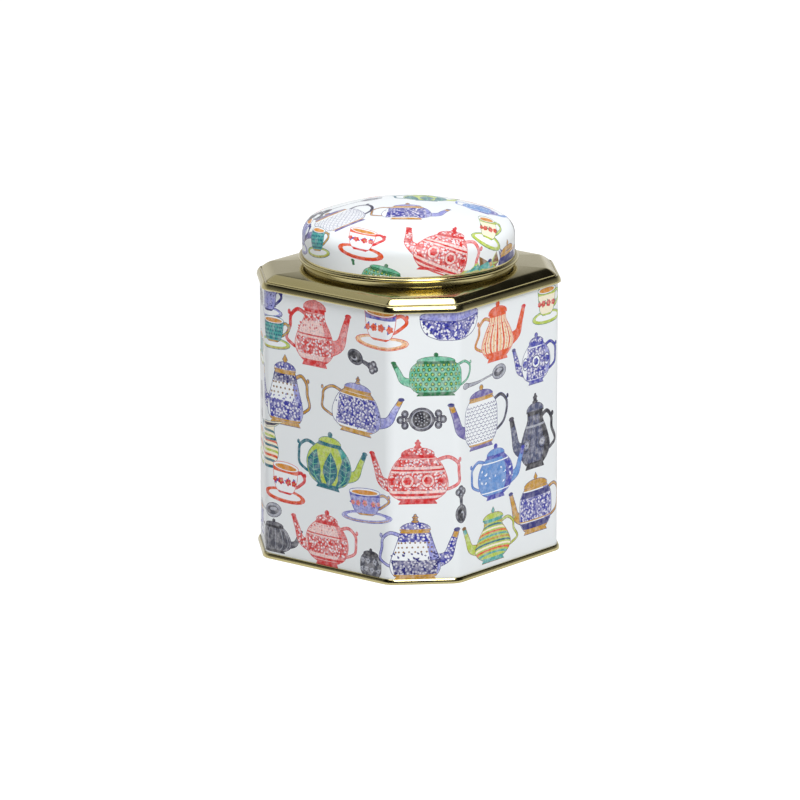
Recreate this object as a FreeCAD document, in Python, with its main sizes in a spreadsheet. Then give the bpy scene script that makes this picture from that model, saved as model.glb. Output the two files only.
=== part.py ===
import FreeCAD, Part
import os

import Sketcher
from FreeCAD import Placement, Rotation, Vector

# Octagonal tea caddy in tinplate.  Its four pressings are the folded wall, the base end, the
# shoulder with its round neck, and the domed lid that lifts off the neck.
# The caddy stands on z = 0 with the origin under its middle, +Z up, and its wide faces square to
# X and Y.  Every size is in millimetres.

doc = FreeCAD.newDocument("tea_caddy")

# ---------------------------------------------------------------- sizes

sizes = doc.addObject("Spreadsheet::Sheet", "Sizes")
driving_sizes = [
    ("across_flats", 100.0, "outside of one wide face to the outside of the face across"),
    ("corner_cut", 18.9, "length that a narrow face takes off each side of the square plan"),
    ("fold_radius", 6.0, "outside radius of the wall's eight folds"),
    ("body_height", 111.2, "floor to the top of the shoulder's seam"),
    ("sheet", 0.3, "thickness of the tinplate"),
    ("base_seam_height", 2.2, "height of the seam round the foot"),
    ("base_seam_play", 0.05, "space between the layers of the foot's seam"),
    ("base_recess", 2.6, "floor to the underside of the base panel"),
    ("top_seam_height", 3.3, "height of the seam under the shoulder"),
    ("top_seam_play", 0.1, "space between the layers of the shoulder's seam"),
    ("seam_round", 0.4, "rounding of the seams' outer edges"),
    ("lock_width", 4.0, "width of the lock seam inside the back narrow face"),
    ("groove_depth", 0.8, "depth of the groove between the top seam and the slope"),
    ("shoulder_width", 9.1, "outside of a wide face to the outside of the neck"),
    ("edge_width", 5.0, "outside of a wide face to the crest of the steep band"),
    ("edge_rise", 2.0, "height of that crest above the seam"),
    ("edge_radius", 6.0, "corner radius of that crest"),
    ("shoulder_rise", 2.8, "height of the foot of the neck above the seam"),
    ("neck_curl", 0.8, "radius of the curl rolled in at the mouth"),
    ("lid_clearance", 0.3, "gap round the neck inside the lid's skirt"),
    ("lid_seat_gap", 0.1, "gap left where the lid rests on the mouth's curl"),
    ("lid_gap", 1.9, "foot of the neck to the underside of the lid"),
    ("lid_height", 22.5, "underside of the lid's curl to the top of its dome"),
    ("lid_corner", 6.2, "outside radius between the lid's skirt and its dome"),
    ("crown_radius", 103.7, "outside radius of the dome"),
    ("lid_curl", 0.85, "radius of the curl rolled out round the lid's edge"),
]
for row, (alias, value, meaning) in enumerate(driving_sizes, start=1):
    sizes.set(f"A{row}", alias)
    sizes.set(f"B{row}", str(value))
    sizes.set(f"C{row}", meaning)
    sizes.setAlias(f"B{row}", alias)
doc.recompute()


# ---------------------------------------------------------------- sketching

def value_of(expression):
    return float(sizes.evalExpression(expression))


def negated(expression):
    return expression[1:] if expression.startswith("-") else "-" + expression


def new_body(label):
    body = doc.addObject("PartDesign::Body", label)
    body.Label = label
    return body


def new_sketch(body, name, role, height="0", turn=0):
    """A sketch on one of the body's own origin planes, lifted by height and turned about Z."""
    sketch = body.newObject("Sketcher::SketchObject", name)
    plane = next(part for part in body.Origin.OriginFeatures if part.Role == role)
    sketch.AttachmentSupport = [(plane, "")]
    sketch.MapMode = "FlatFace"
    sketch.AttachmentOffset = Placement(Vector(), Rotation(Vector(0, 0, 1), turn))
    sketch.setExpression("AttachmentOffset.Base.z", height)
    sketch.Visibility = False
    return sketch


def constrain(sketch, constraint, expression):
    rule = sketch.addConstraint(constraint)
    sketch.setExpression(f"Constraints[{rule}]", expression)


def draw_loop(sketch, corners):
    """Close a loop through corners, each (x, y) or (x, y, radius) in expressions.

    A radius bends the side that leaves its corner, to the left or, with a minus, to the right.
    """
    points = [Vector(value_of(corner[0]), value_of(corner[1]), 0) for corner in corners]
    sides = []
    for index, corner in enumerate(corners):
        start, end = points[index], points[(index + 1) % len(points)]
        if len(corner) == 2:
            sides.append((sketch.addGeometry(Part.LineSegment(start, end)), 1, 2))
            continue
        bends_left = not corner[2].startswith("-")
        bend = corner[2].lstrip("-")
        radius = value_of(bend)
        chord = end - start
        depth = max(radius ** 2 - chord.Length ** 2 / 4, 0) ** 0.5
        left = Vector(-chord.y, chord.x, 0).normalize()
        centre = (start + end) / 2 + left * (depth if bends_left else -depth)
        circle = Part.Circle(centre, Vector(0, 0, 1), radius)
        low, high = (start, end) if bends_left else (end, start)
        arc = Part.ArcOfCircle(circle, circle.parameter(low), circle.parameter(high))
        side = sketch.addGeometry(arc)
        constrain(sketch, Sketcher.Constraint("Radius", side, radius), bend)
        sides.append((side, 1, 2) if bends_left else (side, 2, 1))
    for index, (side, start, _) in enumerate(sides):
        before, _, end = sides[index - 1]
        sketch.addConstraint(Sketcher.Constraint("Coincident", before, end, side, start))
        place = points[index]
        constrain(sketch, Sketcher.Constraint("DistanceX", -1, 1, side, start, place.x),
                  corners[index][0])
        constrain(sketch, Sketcher.Constraint("DistanceY", -1, 1, side, start, place.y),
                  corners[index][1])


def pad(body, name, sketch, length):
    feature = body.newObject("PartDesign::Pad", name)
    feature.Profile = sketch
    feature.setExpression("Length", length)


def turned(body, name, corners):
    """A ring turned about Z from a section drawn in the XZ plane."""
    sketch = new_sketch(body, f"{name}_sketch", "XZ_Plane")
    draw_loop(sketch, corners)
    feature = body.newObject("PartDesign::Revolution", name)
    feature.Profile = sketch
    feature.ReferenceAxis = (sketch, ["V_Axis"])
    feature.Angle = 360


def arc_corners(centre, radius, angles, bend):
    """Corners along a circle at the given angles, joined by arcs of that circle."""
    corners = []
    for angle in angles:
        x = f"({centre[0]} + {radius} * cos({angle} deg))"
        y = f"({centre[1]} + {radius} * sin({angle} deg))"
        corners.append((x, y, bend))
    corners[-1] = corners[-1][:2]
    return corners


# ---------------------------------------------------------------- the octagonal plan

HALF = "(Sizes.across_flats / 2)"
SHEET = "Sizes.sheet"


def octagon(outset, radius):
    """The plan's rounded octagon, moved outset outside the wall's outer face."""
    half = f"({HALF} + ({outset}))"
    reach = f"({half} - Sizes.corner_cut - ({outset}) * (2 - sqrt(2)))"
    run = f"({radius} * tan(22.5 deg))"
    step = f"({run} / sqrt(2))"
    quarter = [(half, f"({reach} - {run})", radius),
               (f"({half} - {step})", f"({reach} + {step})"),
               (f"({reach} + {step})", f"({half} - {step})", radius),
               (f"({reach} - {run})", half)]
    corners = []
    for _ in range(4):
        corners += quarter
        quarter = [(negated(corner[1]), corner[0]) + corner[2:] for corner in quarter]
    return corners


def wall_octagon(outset):
    return octagon(outset, f"(Sizes.fold_radius + ({outset}))")


def octagon_ring(body, name, inside, outside, low, high):
    """An upright octagonal band between two outsets and two heights."""
    sketch = new_sketch(body, f"{name}_sketch", "XY_Plane", low)
    draw_loop(sketch, wall_octagon(outside))
    draw_loop(sketch, wall_octagon(inside))
    pad(body, name, sketch, f"({high}) - ({low})")


class Seam:
    """Outsets of the layers of a double seam, from the inside of the caddy outwards."""

    def __init__(self, play):
        self.chuck_inside = f"-2 * {SHEET} - {play}"
        self.chuck_outside = f"-{SHEET} - {play}"
        self.end_hook_inside = play
        self.end_hook_outside = f"{play} + {SHEET}"
        self.wall_hook_inside = f"2 * {play} + {SHEET}"
        self.wall_hook_outside = f"2 * {play} + 2 * {SHEET}"
        self.wrap_inside = f"3 * {play} + 2 * {SHEET}"
        self.wrap_outside = f"3 * {play} + 3 * {SHEET}"


base_seam = Seam("Sizes.base_seam_play")
top_seam = Seam("Sizes.top_seam_play")


def round_rims(body, name):
    """Round the outer edges of the highest and the lowest face of a seam."""
    doc.recompute()
    solid = body.Tip.Shape
    level_faces = sorted(solid.Faces, key=lambda face: face.CenterOfMass.z)
    rims = level_faces[0].OuterWire.Edges + level_faces[-1].OuterWire.Edges
    names = [f"Edge{index}" for index, edge in enumerate(solid.Edges, start=1)
             if any(edge.isSame(rim) for rim in rims)]
    feature = body.newObject("PartDesign::Fillet", name)
    feature.Base = (body.Group[-2], names)
    feature.setExpression("Radius", "Sizes.seam_round")


# ---------------------------------------------------------------- wall

# One printed blank, folded to the octagon and locked along the middle of the narrow face at the
# back, with both ends flanged outwards and hooked into the end seams.
FOOT_FLANGE = f"{SHEET} + Sizes.base_seam_play"
HEAD_FLANGE = f"Sizes.body_height - {SHEET} - Sizes.top_seam_play"

wall = new_body("wall")
octagon_ring(wall, "tube", f"-{SHEET}", "0", FOOT_FLANGE, HEAD_FLANGE)
octagon_ring(wall, "foot_flange", f"-{SHEET}", base_seam.wall_hook_outside,
             FOOT_FLANGE, f"{FOOT_FLANGE} + {SHEET}")
octagon_ring(wall, "foot_hook", base_seam.wall_hook_inside, base_seam.wall_hook_outside,
             FOOT_FLANGE, f"Sizes.base_seam_height - {SHEET} - Sizes.base_seam_play")
octagon_ring(wall, "head_flange", f"-{SHEET}", top_seam.wall_hook_outside,
             f"{HEAD_FLANGE} - {SHEET}", HEAD_FLANGE)
octagon_ring(wall, "head_hook", top_seam.wall_hook_inside, top_seam.wall_hook_outside,
             f"Sizes.body_height - Sizes.top_seam_height + {SHEET} + Sizes.top_seam_play",
             HEAD_FLANGE)

# The lock seam is two more layers on the inside, cut short of both ends.
lock_low = f"Sizes.base_recess + 2 * {SHEET}"
lock_high = f"Sizes.body_height - Sizes.groove_depth - 3 * {SHEET}"
narrow_face = "((Sizes.across_flats - Sizes.corner_cut) / sqrt(2))"
lock_sketch = new_sketch(wall, "lock_sketch", "XY_Plane", lock_low, turn=45)
draw_loop(lock_sketch, [(f"({narrow_face} - 3 * {SHEET})", "-Sizes.lock_width / 2"),
                        (f"({narrow_face} - {SHEET} / 2)", "-Sizes.lock_width / 2"),
                        (f"({narrow_face} - {SHEET} / 2)", "Sizes.lock_width / 2"),
                        (f"({narrow_face} - 3 * {SHEET})", "Sizes.lock_width / 2")])
pad(wall, "lock_seam", lock_sketch, f"({lock_high}) - ({lock_low})")

# ---------------------------------------------------------------- base end

# A shallow pressed pan.  Its rim is rolled up round the wall's foot flange and is what the
# caddy stands on, and its panel is held clear of the table.
base_end = new_body("base_end")
octagon_ring(base_end, "rim", base_seam.chuck_inside, base_seam.wrap_outside, "0", SHEET)
octagon_ring(base_end, "wrap", base_seam.wrap_inside, base_seam.wrap_outside,
             "0", "Sizes.base_seam_height")
octagon_ring(base_end, "turn", base_seam.end_hook_inside, base_seam.wrap_outside,
             f"Sizes.base_seam_height - {SHEET}", "Sizes.base_seam_height")
round_rims(base_end, "rounded_rim")
octagon_ring(base_end, "hook", base_seam.end_hook_inside, base_seam.end_hook_outside,
             f"2 * {SHEET} + 2 * Sizes.base_seam_play", "Sizes.base_seam_height")
octagon_ring(base_end, "chuck_wall", base_seam.chuck_inside, base_seam.chuck_outside,
             "0", f"Sizes.base_recess + {SHEET}")
panel_sketch = new_sketch(base_end, "panel_sketch", "XY_Plane", "Sizes.base_recess")
draw_loop(panel_sketch, wall_octagon(base_seam.chuck_outside))
pad(base_end, "panel", panel_sketch, SHEET)

# ---------------------------------------------------------------- shoulder

# One pressing in its own frame, whose z = 0 is the top of its seam: the seam, a groove, a steep
# octagonal band, a flatter slope up to the neck, and the round neck with its mouth curled in.
NECK_RADIUS = f"({HALF} - Sizes.shoulder_width)"
LID_RADIUS = f"({NECK_RADIUS} + Sizes.lid_clearance + {SHEET})"
LID_CORNER_X = f"({LID_RADIUS} - Sizes.lid_corner)"
CROWN_REACH = "(Sizes.crown_radius - Sizes.lid_corner)"
CROWN_DEPTH = f"sqrt({CROWN_REACH}^2 - {LID_CORNER_X}^2)"
LID_CORNER_Z = f"(Sizes.lid_height - Sizes.crown_radius + {CROWN_DEPTH})"

shoulder = new_body("shoulder")
octagon_ring(shoulder, "rim", top_seam.chuck_inside, top_seam.wrap_outside, f"-{SHEET}", "0")
octagon_ring(shoulder, "wrap", top_seam.wrap_inside, top_seam.wrap_outside,
             "-Sizes.top_seam_height", "0")
octagon_ring(shoulder, "turn", top_seam.end_hook_inside, top_seam.wrap_outside,
             "-Sizes.top_seam_height", f"{SHEET} - Sizes.top_seam_height")
round_rims(shoulder, "rounded_rim")
octagon_ring(shoulder, "hook", top_seam.end_hook_inside, top_seam.end_hook_outside,
             "-Sizes.top_seam_height", f"-2 * {SHEET} - 2 * Sizes.top_seam_play")
octagon_ring(shoulder, "chuck_wall", top_seam.chuck_inside, top_seam.chuck_outside,
             f"-Sizes.groove_depth - {SHEET}", "0")


def slope_loft(kind, name, drop):
    """A loft from the groove over the crest to the neck, lowered by drop."""
    outline = [wall_octagon(top_seam.chuck_outside),
               octagon("-Sizes.edge_width", "Sizes.edge_radius"), []]
    # The neck's circle is cut where the octagon has its corners, so that every side of a section
    # has its own side in the next.
    wide_half, narrow_half = 29, 9
    for quarter in range(4):
        middle = 90 * quarter
        angles = (middle + wide_half, middle + 45 - narrow_half,
                  middle + 45 + narrow_half, middle + 90 - wide_half)
        outline[2] += arc_corners(("0", "0"), NECK_RADIUS, angles, NECK_RADIUS)
        outline[2][-1] += (NECK_RADIUS,)
    heights = ["-Sizes.groove_depth", "Sizes.edge_rise", "Sizes.shoulder_rise"]
    sections = []
    for index, (corners, height) in enumerate(zip(outline, heights)):
        sketch = new_sketch(shoulder, f"{name}_{index}", "XY_Plane", f"{height} - {drop}")
        draw_loop(sketch, corners)
        sections.append(sketch)
    feature = shoulder.newObject(kind, name)
    feature.Profile = sections[0]
    feature.Sections = sections[1:]
    feature.Ruled = True


slope_loft("PartDesign::AdditiveLoft", "slope", "0")
slope_loft("PartDesign::SubtractiveLoft", "slope_underside", SHEET)

mouth_sketch = new_sketch(shoulder, "mouth_sketch", "XY_Plane", "Sizes.shoulder_rise")
mouth_sketch.addGeometry(Part.Circle(Vector(), Vector(0, 0, 1), value_of(NECK_RADIUS)))
mouth_sketch.addConstraint(Sketcher.Constraint("Coincident", 0, 3, -1, 1))
constrain(mouth_sketch, Sketcher.Constraint("Radius", 0, value_of(NECK_RADIUS)),
          f"{NECK_RADIUS} - {SHEET}")
mouth = shoulder.newObject("PartDesign::Pocket", "mouth")
mouth.Profile = mouth_sketch
mouth.setExpression("Length", f"2 * {SHEET}")

# The lid's inner corner rests on the curl, so the curl's height follows from the lid's shape.
SEAT_REACH = f"(Sizes.lid_corner - {SHEET} - Sizes.neck_curl - Sizes.lid_seat_gap)"
SEAT_X = f"({NECK_RADIUS} - Sizes.neck_curl - {LID_CORNER_X})"
SEAT_RISE = f"sqrt({SEAT_REACH}^2 - {SEAT_X}^2)"
neck_curl_centre = (f"({NECK_RADIUS} - Sizes.neck_curl)",
                    f"(Sizes.shoulder_rise + Sizes.lid_gap + {LID_CORNER_Z} + {SEAT_RISE})")
neck_foot = f"(Sizes.shoulder_rise - {SHEET})"
CURL_END = 15
neck_turn = (0, 90, 180, 270, 270 + CURL_END)
turned(shoulder, "neck",
       [(f"({NECK_RADIUS} - {SHEET})", neck_foot), (NECK_RADIUS, neck_foot)]
       + arc_corners(neck_curl_centre, "Sizes.neck_curl", neck_turn, "Sizes.neck_curl")
       + arc_corners(neck_curl_centre, f"(Sizes.neck_curl - {SHEET})", neck_turn[::-1],
                     f"-(Sizes.neck_curl - {SHEET})"))
shoulder.setExpression("Placement.Base.z", "Sizes.body_height")

# ---------------------------------------------------------------- lid

# A drawn dome in its own frame, whose z = 0 is the underside of the curl rolled out round its
# edge.  It lifts straight up off the neck.
lid = new_body("lid")
crown_z = "(Sizes.lid_height - Sizes.crown_radius)"
crown_share = f"({LID_CORNER_X} / {CROWN_REACH})"
corner_share = f"({CROWN_DEPTH} / {CROWN_REACH})"
inner_crown = f"(Sizes.crown_radius - {SHEET})"
inner_skirt = f"({LID_RADIUS} - {SHEET})"
lid_curl_centre = (f"({inner_skirt} + Sizes.lid_curl)", "Sizes.lid_curl")
lid_turn = (180, 270, 360, 450, 450 + CURL_END)
turned(lid, "dome",
       [("0", "Sizes.lid_height", "-Sizes.crown_radius"),
        (f"({crown_share} * Sizes.crown_radius)",
         f"({crown_z} + {corner_share} * Sizes.crown_radius)", "-Sizes.lid_corner"),
        (LID_RADIUS, LID_CORNER_Z)]
       + arc_corners(lid_curl_centre, f"(Sizes.lid_curl - {SHEET})", lid_turn,
                     f"(Sizes.lid_curl - {SHEET})")
       + arc_corners(lid_curl_centre, "Sizes.lid_curl", lid_turn[::-1], "-Sizes.lid_curl")
       + [(inner_skirt, LID_CORNER_Z, f"(Sizes.lid_corner - {SHEET})"),
          (f"({crown_share} * {inner_crown})", f"({crown_z} + {corner_share} * {inner_crown})",
           inner_crown),
          ("0", f"(Sizes.lid_height - {SHEET})")])
lid.setExpression("Placement.Base.z",
                  "Sizes.body_height + Sizes.shoulder_rise + Sizes.lid_gap")

# ---------------------------------------------------------------- check and write

doc.recompute()
failed = [item.Label for item in doc.Objects
          if "Invalid" in item.State or "Error" in item.State]
if failed:
    raise RuntimeError(f"features that did not build: {failed}")

os.makedirs("parts", exist_ok=True)
for body in (wall, base_end, shoulder, lid):
    if body.Shape.isNull() or not body.Shape.isValid() or len(body.Shape.Solids) != 1:
        raise RuntimeError(f"{body.Label} is not one sound solid")
    box = body.Shape.optimalBoundingBox(False)
    print(f"{body.Label}: volume {body.Shape.Volume:.0f} mm3, "
          f"x to {box.XMax:.2f}, z {box.ZMin:.2f} to {box.ZMax:.2f}")
    body.Shape.exportStep(f"parts/{body.Label}.step")
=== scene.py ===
import math
import random
from bisect import bisect_right

import bpy
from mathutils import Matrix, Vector
from mathutils.geometry import delaunay_2d_cdt


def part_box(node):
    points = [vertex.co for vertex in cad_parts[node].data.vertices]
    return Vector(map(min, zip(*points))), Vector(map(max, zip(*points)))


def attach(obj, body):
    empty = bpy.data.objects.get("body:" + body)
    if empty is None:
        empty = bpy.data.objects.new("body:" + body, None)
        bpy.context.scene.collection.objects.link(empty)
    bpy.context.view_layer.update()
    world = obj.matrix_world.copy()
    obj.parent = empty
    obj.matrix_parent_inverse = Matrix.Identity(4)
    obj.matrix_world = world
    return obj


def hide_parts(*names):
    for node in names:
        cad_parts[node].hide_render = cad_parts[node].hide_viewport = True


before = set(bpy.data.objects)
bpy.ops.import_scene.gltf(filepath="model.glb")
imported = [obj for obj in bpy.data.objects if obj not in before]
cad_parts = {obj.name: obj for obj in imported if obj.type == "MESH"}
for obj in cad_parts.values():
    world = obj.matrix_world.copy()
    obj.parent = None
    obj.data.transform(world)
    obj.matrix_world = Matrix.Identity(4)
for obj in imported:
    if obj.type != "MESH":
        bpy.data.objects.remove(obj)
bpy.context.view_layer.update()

MM = 0.001

# ------------------------------------------------------------------ studio
# White paper on the table under three soft lights: a large one overhead, one high in front and
# a weak one behind.  The room is pale behind the tin and dark in front, as the gold shows.

scene = bpy.context.scene
scene.view_settings.view_transform = "Standard"


def compass(azimuth, elevation):
    """The direction towards a point seen at that azimuth and elevation, in degrees."""
    a, e = math.radians(azimuth), math.radians(elevation)
    return Vector((math.sin(a) * math.cos(e), -math.cos(a) * math.cos(e), math.sin(e)))


def look(item, place, aim):
    item.location = place
    item.rotation_euler = (Vector(aim) - Vector(place)).to_track_quat("-Z", "Y").to_euler()
    scene.collection.objects.link(item)


view_azimuth, view_elevation, view_distance = -50.72, 14.667, 3.1704
view_right = compass(view_azimuth, 0).cross(Vector((0, 0, -1)))
view_aim = view_right * -3.33 * MM + Vector((0, 0, 58.55 * MM))
camera = bpy.data.objects.new("camera", bpy.data.cameras.new("camera"))
camera.data.sensor_width = 36
camera.data.lens = 364.54
camera.data.clip_end = 50
look(camera, view_aim + compass(view_azimuth, view_elevation) * view_distance, view_aim)
scene.camera = camera


def softbox(name, azimuth, elevation, distance, width, height, strength):
    lamp = bpy.data.lights.new(name, "AREA")
    lamp.shape = "RECTANGLE"
    lamp.size, lamp.size_y = width, height
    lamp.energy = strength
    look(bpy.data.objects.new(name, lamp), compass(azimuth, elevation) * distance, (0, 0, 0.06))


softbox("overhead", -50, 89, 1.2, 0.8, 0.8, 9)
softbox("key", -30, 48, 1.5, 0.7, 0.7, 15.2)
softbox("behind", 172, 45, 1.4, 1.3, 0.75, 1.6)

world = bpy.data.worlds.new("room")
world.use_nodes = True
scene.world = world
room = world.node_tree
sky = room.nodes.new("ShaderNodeTexCoord")
height_of_sky = room.nodes.new("ShaderNodeSeparateXYZ")
fall = room.nodes.new("ShaderNodeMapRange")
for label, value in (("From Min", 0.08), ("From Max", 0.55), ("To Min", 0.5), ("To Max", 0.01)):
    fall.inputs[label].default_value = value
room.links.new(sky.outputs["Generated"], height_of_sky.inputs["Vector"])
room.links.new(height_of_sky.outputs["Z"], fall.inputs["Value"])
towards_back = room.nodes.new("ShaderNodeVectorMath")
towards_back.operation = "DOT_PRODUCT"
towards_back.inputs[1].default_value = compass(140, 0)
rise = room.nodes.new("ShaderNodeMapRange")
for label, value in (("From Min", -0.3), ("From Max", 0.75), ("To Min", 0.03), ("To Max", 1.7)):
    rise.inputs[label].default_value = value
room_light = room.nodes.new("ShaderNodeMath")
room_light.operation = "MULTIPLY"
room.links.new(sky.outputs["Generated"], towards_back.inputs[0])
room.links.new(towards_back.outputs["Value"], rise.inputs["Value"])
room.links.new(fall.outputs["Result"], room_light.inputs[0])
room.links.new(rise.outputs["Result"], room_light.inputs[1])
room.links.new(room_light.outputs["Value"], room.nodes["Background"].inputs["Strength"])
room.nodes["Background"].inputs["Color"].default_value = (0.98, 0.98, 1.0, 1)

table_mesh = bpy.data.meshes.new("table")
TABLE_REACH = 8
table_corners = [(x * TABLE_REACH, y * TABLE_REACH, 0)
                 for x, y in ((-1, -1), (1, -1), (1, 1), (-1, 1))]
table_mesh.from_pydata(table_corners, [], [(0, 1, 2, 3)])
table = bpy.data.objects.new("table", table_mesh)
scene.collection.objects.link(table)
paper = bpy.data.materials.new("white_paper")
paper.use_nodes = True
paper_shader = paper.node_tree.nodes["Principled BSDF"]
paper_shader.inputs["Base Color"].default_value = (0.3, 0.3, 0.3, 1)
paper_shader.inputs["Roughness"].default_value = 0.9
paper_shader.inputs["Specular IOR Level"].default_value = 0.0
paper_shader.inputs["Emission Color"].default_value = (1, 1, 1, 1)
paper_rays = paper.node_tree.nodes.new("ShaderNodeLightPath")
paper_glow = paper.node_tree.nodes.new("ShaderNodeMapRange")    # seen white, bounces a little less
paper_glow.inputs["To Min"].default_value = 0.6
paper_glow.inputs["To Max"].default_value = 0.95
paper.node_tree.links.new(paper_rays.outputs["Is Camera Ray"], paper_glow.inputs["Value"])
paper.node_tree.links.new(paper_glow.outputs["Result"], paper_shader.inputs["Emission Strength"])
table_mesh.materials.append(paper)

# ------------------------------------------------------------------ wall
# One blank of tinplate, printed flat, varnished, folded to eight sides and locked along the
# middle of the narrow face at the back.  Both ends are flanged out and hooked into the seams.

SHEET = 0.3
ACROSS_FLATS = 100.0
CORNER_CUT = 18.9
FOLD_RADIUS = 6.0
wall_low, wall_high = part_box("wall")
WALL_FOOT, WALL_HEAD = wall_low.z / MM, wall_high.z / MM
LOCK_WIDTH = 4.0


def plan_segments():
    """(start along the blank, place, heading, length, turns) of the plan's straights and folds."""
    trim = FOLD_RADIUS * math.tan(math.radians(22.5))
    wide = ACROSS_FLATS - 2 * CORNER_CUT - 2 * trim
    narrow = CORNER_CUT * math.sqrt(2) - 2 * trim
    fold = FOLD_RADIUS * math.radians(45)
    lengths = [narrow / 2]
    for side in range(8):
        lengths += [fold, narrow if side % 2 else wide]
    lengths[-1] = narrow / 2
    place = Vector((1, 1)) * (ACROSS_FLATS - CORNER_CUT) / 2
    heading, along, segments = math.radians(135), 0.0, []
    for index, length in enumerate(lengths):
        folds = index % 2 == 1
        segments.append((along, place.copy(), heading, folds))
        if folds:
            for half in range(2):
                chord = 2 * FOLD_RADIUS * math.sin(math.radians(22.5) / 2)
                middle = heading + math.radians(45) * (0.25 + 0.5 * half)
                place += Vector((math.cos(middle), math.sin(middle))) * chord
            heading += math.radians(45)
        else:
            place += Vector((math.cos(heading), math.sin(heading))) * length
        along += length
    return segments, along


SEGMENTS, GIRTH = plan_segments()
SEGMENT_STARTS = [segment[0] for segment in SEGMENTS]


def plan_point(along):
    """The wall's outer face and its outward normal at a length along the blank."""
    start, place, heading, folds = SEGMENTS[bisect_right(SEGMENT_STARTS, along % GIRTH) - 1]
    step = along % GIRTH - start
    turn = step / FOLD_RADIUS if folds else 0.0
    normal = Vector((math.sin(heading + turn), -math.cos(heading + turn)))
    if folds:
        centre = place - Vector((math.sin(heading), -math.cos(heading))) * FOLD_RADIUS
        return centre + normal * FOLD_RADIUS, normal
    return place + Vector((math.cos(heading), math.sin(heading))) * step, normal


def stations(folds_in, straights_in):
    """Lengths along the blank for sweeping a section round the octagon."""
    found = []
    ends = SEGMENT_STARTS[1:] + [GIRTH]
    for (start, _, _, folds), end in zip(SEGMENTS, ends):
        count = folds_in if folds else straights_in
        found += [start + (end - start) * step / count for step in range(count)]
    return found


# The artwork is drawn flat in millimetres, as on the litho plate: pots, cups and spoons in loose
# watercolour with a dark pen line.  Each shape prints over the ones before it.

INKS = {
    "ground": (238, 242, 244, 0.0), "white": (243, 246, 249, 0.0), "pen": (58, 52, 76, 0.1),
    "cream": (248, 240, 216, 0.1), "blush": (248, 214, 208, 0.5), "rose": (236, 140, 138, 0.6),
    "red": (216, 44, 48, 0.35), "navy": (40, 42, 128, 0.25), "blue": (70, 76, 182, 0.5),
    "lilac": (158, 162, 222, 0.6),
    "sky": (104, 154, 216, 0.35), "teal": (8, 116, 132, 0.35), "aqua": (84, 178, 172, 0.5),
    "mint": (118, 198, 164, 0.5), "lime": (192, 212, 84, 0.4), "leaf": (44, 122, 76, 0.4),
    "gold": (206, 158, 56, 0.4), "bronze": (140, 102, 52, 0.4), "orange": (232, 96, 36, 0.35),
    "peach": (246, 196, 146, 0.5), "amber": (222, 150, 36, 0.3), "pewter": (92, 94, 104, 0.5),
    "coal": (48, 48, 58, 0.3), "silver": (176, 180, 190, 0.5), "violet": (120, 112, 176, 0.5),
    "slate": (86, 94, 126, 0.6), "bluework": (58, 62, 172, 1.0), "navywork": (36, 38, 126, 0.9),
    "redwork": (222, 70, 66, 1.0), "scarlet": (222, 40, 40, 0.5),
}


def smooth(points, steps):
    """A smooth line through a few points."""
    points = [Vector(point) for point in points]
    last = len(points) - 1
    line = []
    for index in range(last):
        p0, p1, p2, p3 = (points[min(max(index + shift, 0), last)] for shift in (-1, 0, 1, 2))
        for step in range(steps):
            t = step / steps
            line.append(0.5 * (2 * p1 + (p2 - p0) * t + (2 * p0 - 5 * p1 + 4 * p2 - p3) * t ** 2
                               + (3 * p1 - p0 - 3 * p2 + p3) * t ** 3))
    return line + [points[-1]]


def ribbon(line, start, end=None, middle=None):
    """A band along a line, with its width at the start, the middle and the end."""
    line = [Vector(point) for point in line]
    end = start if end is None else end
    middle = (start + end) / 2 if middle is None else middle
    left, right = [], []
    for index, point in enumerate(line):
        along = line[min(index + 1, len(line) - 1)] - line[max(index - 1, 0)]
        across = Vector((-along.y, along.x)).normalized()
        t = index / (len(line) - 1)
        width = start + (middle - start) * 2 * t if t < 0.5 else middle + (end - middle) * (2 * t - 1)
        left.append(point + across * width / 2)
        right.append(point - across * width / 2)
    return right + left[::-1]


def oval(x, y, rx, ry, count=14, low=0, high=360):
    whole = high - low >= 360
    steps = count if whole else count - 1
    return [Vector((x + rx * math.cos(math.radians(low + (high - low) * k / steps)),
                    y + ry * math.sin(math.radians(low + (high - low) * k / steps))))
            for k in range(count)]


def signed_area(outline):
    return sum(a.x * b.y - b.x * a.y for a, b in zip(outline, outline[1:] + outline[:1])) / 2


def grown(outline, by):
    """The outline moved outwards, which is what shows round it as the pen line."""
    if signed_area(outline) < 0:
        outline = outline[::-1]
    count = len(outline)
    moved = []
    for index, point in enumerate(outline):
        along = outline[(index + 1) % count] - outline[index - 1]
        moved.append(point + Vector((along.y, -along.x)).normalized() * by)
    return moved


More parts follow.
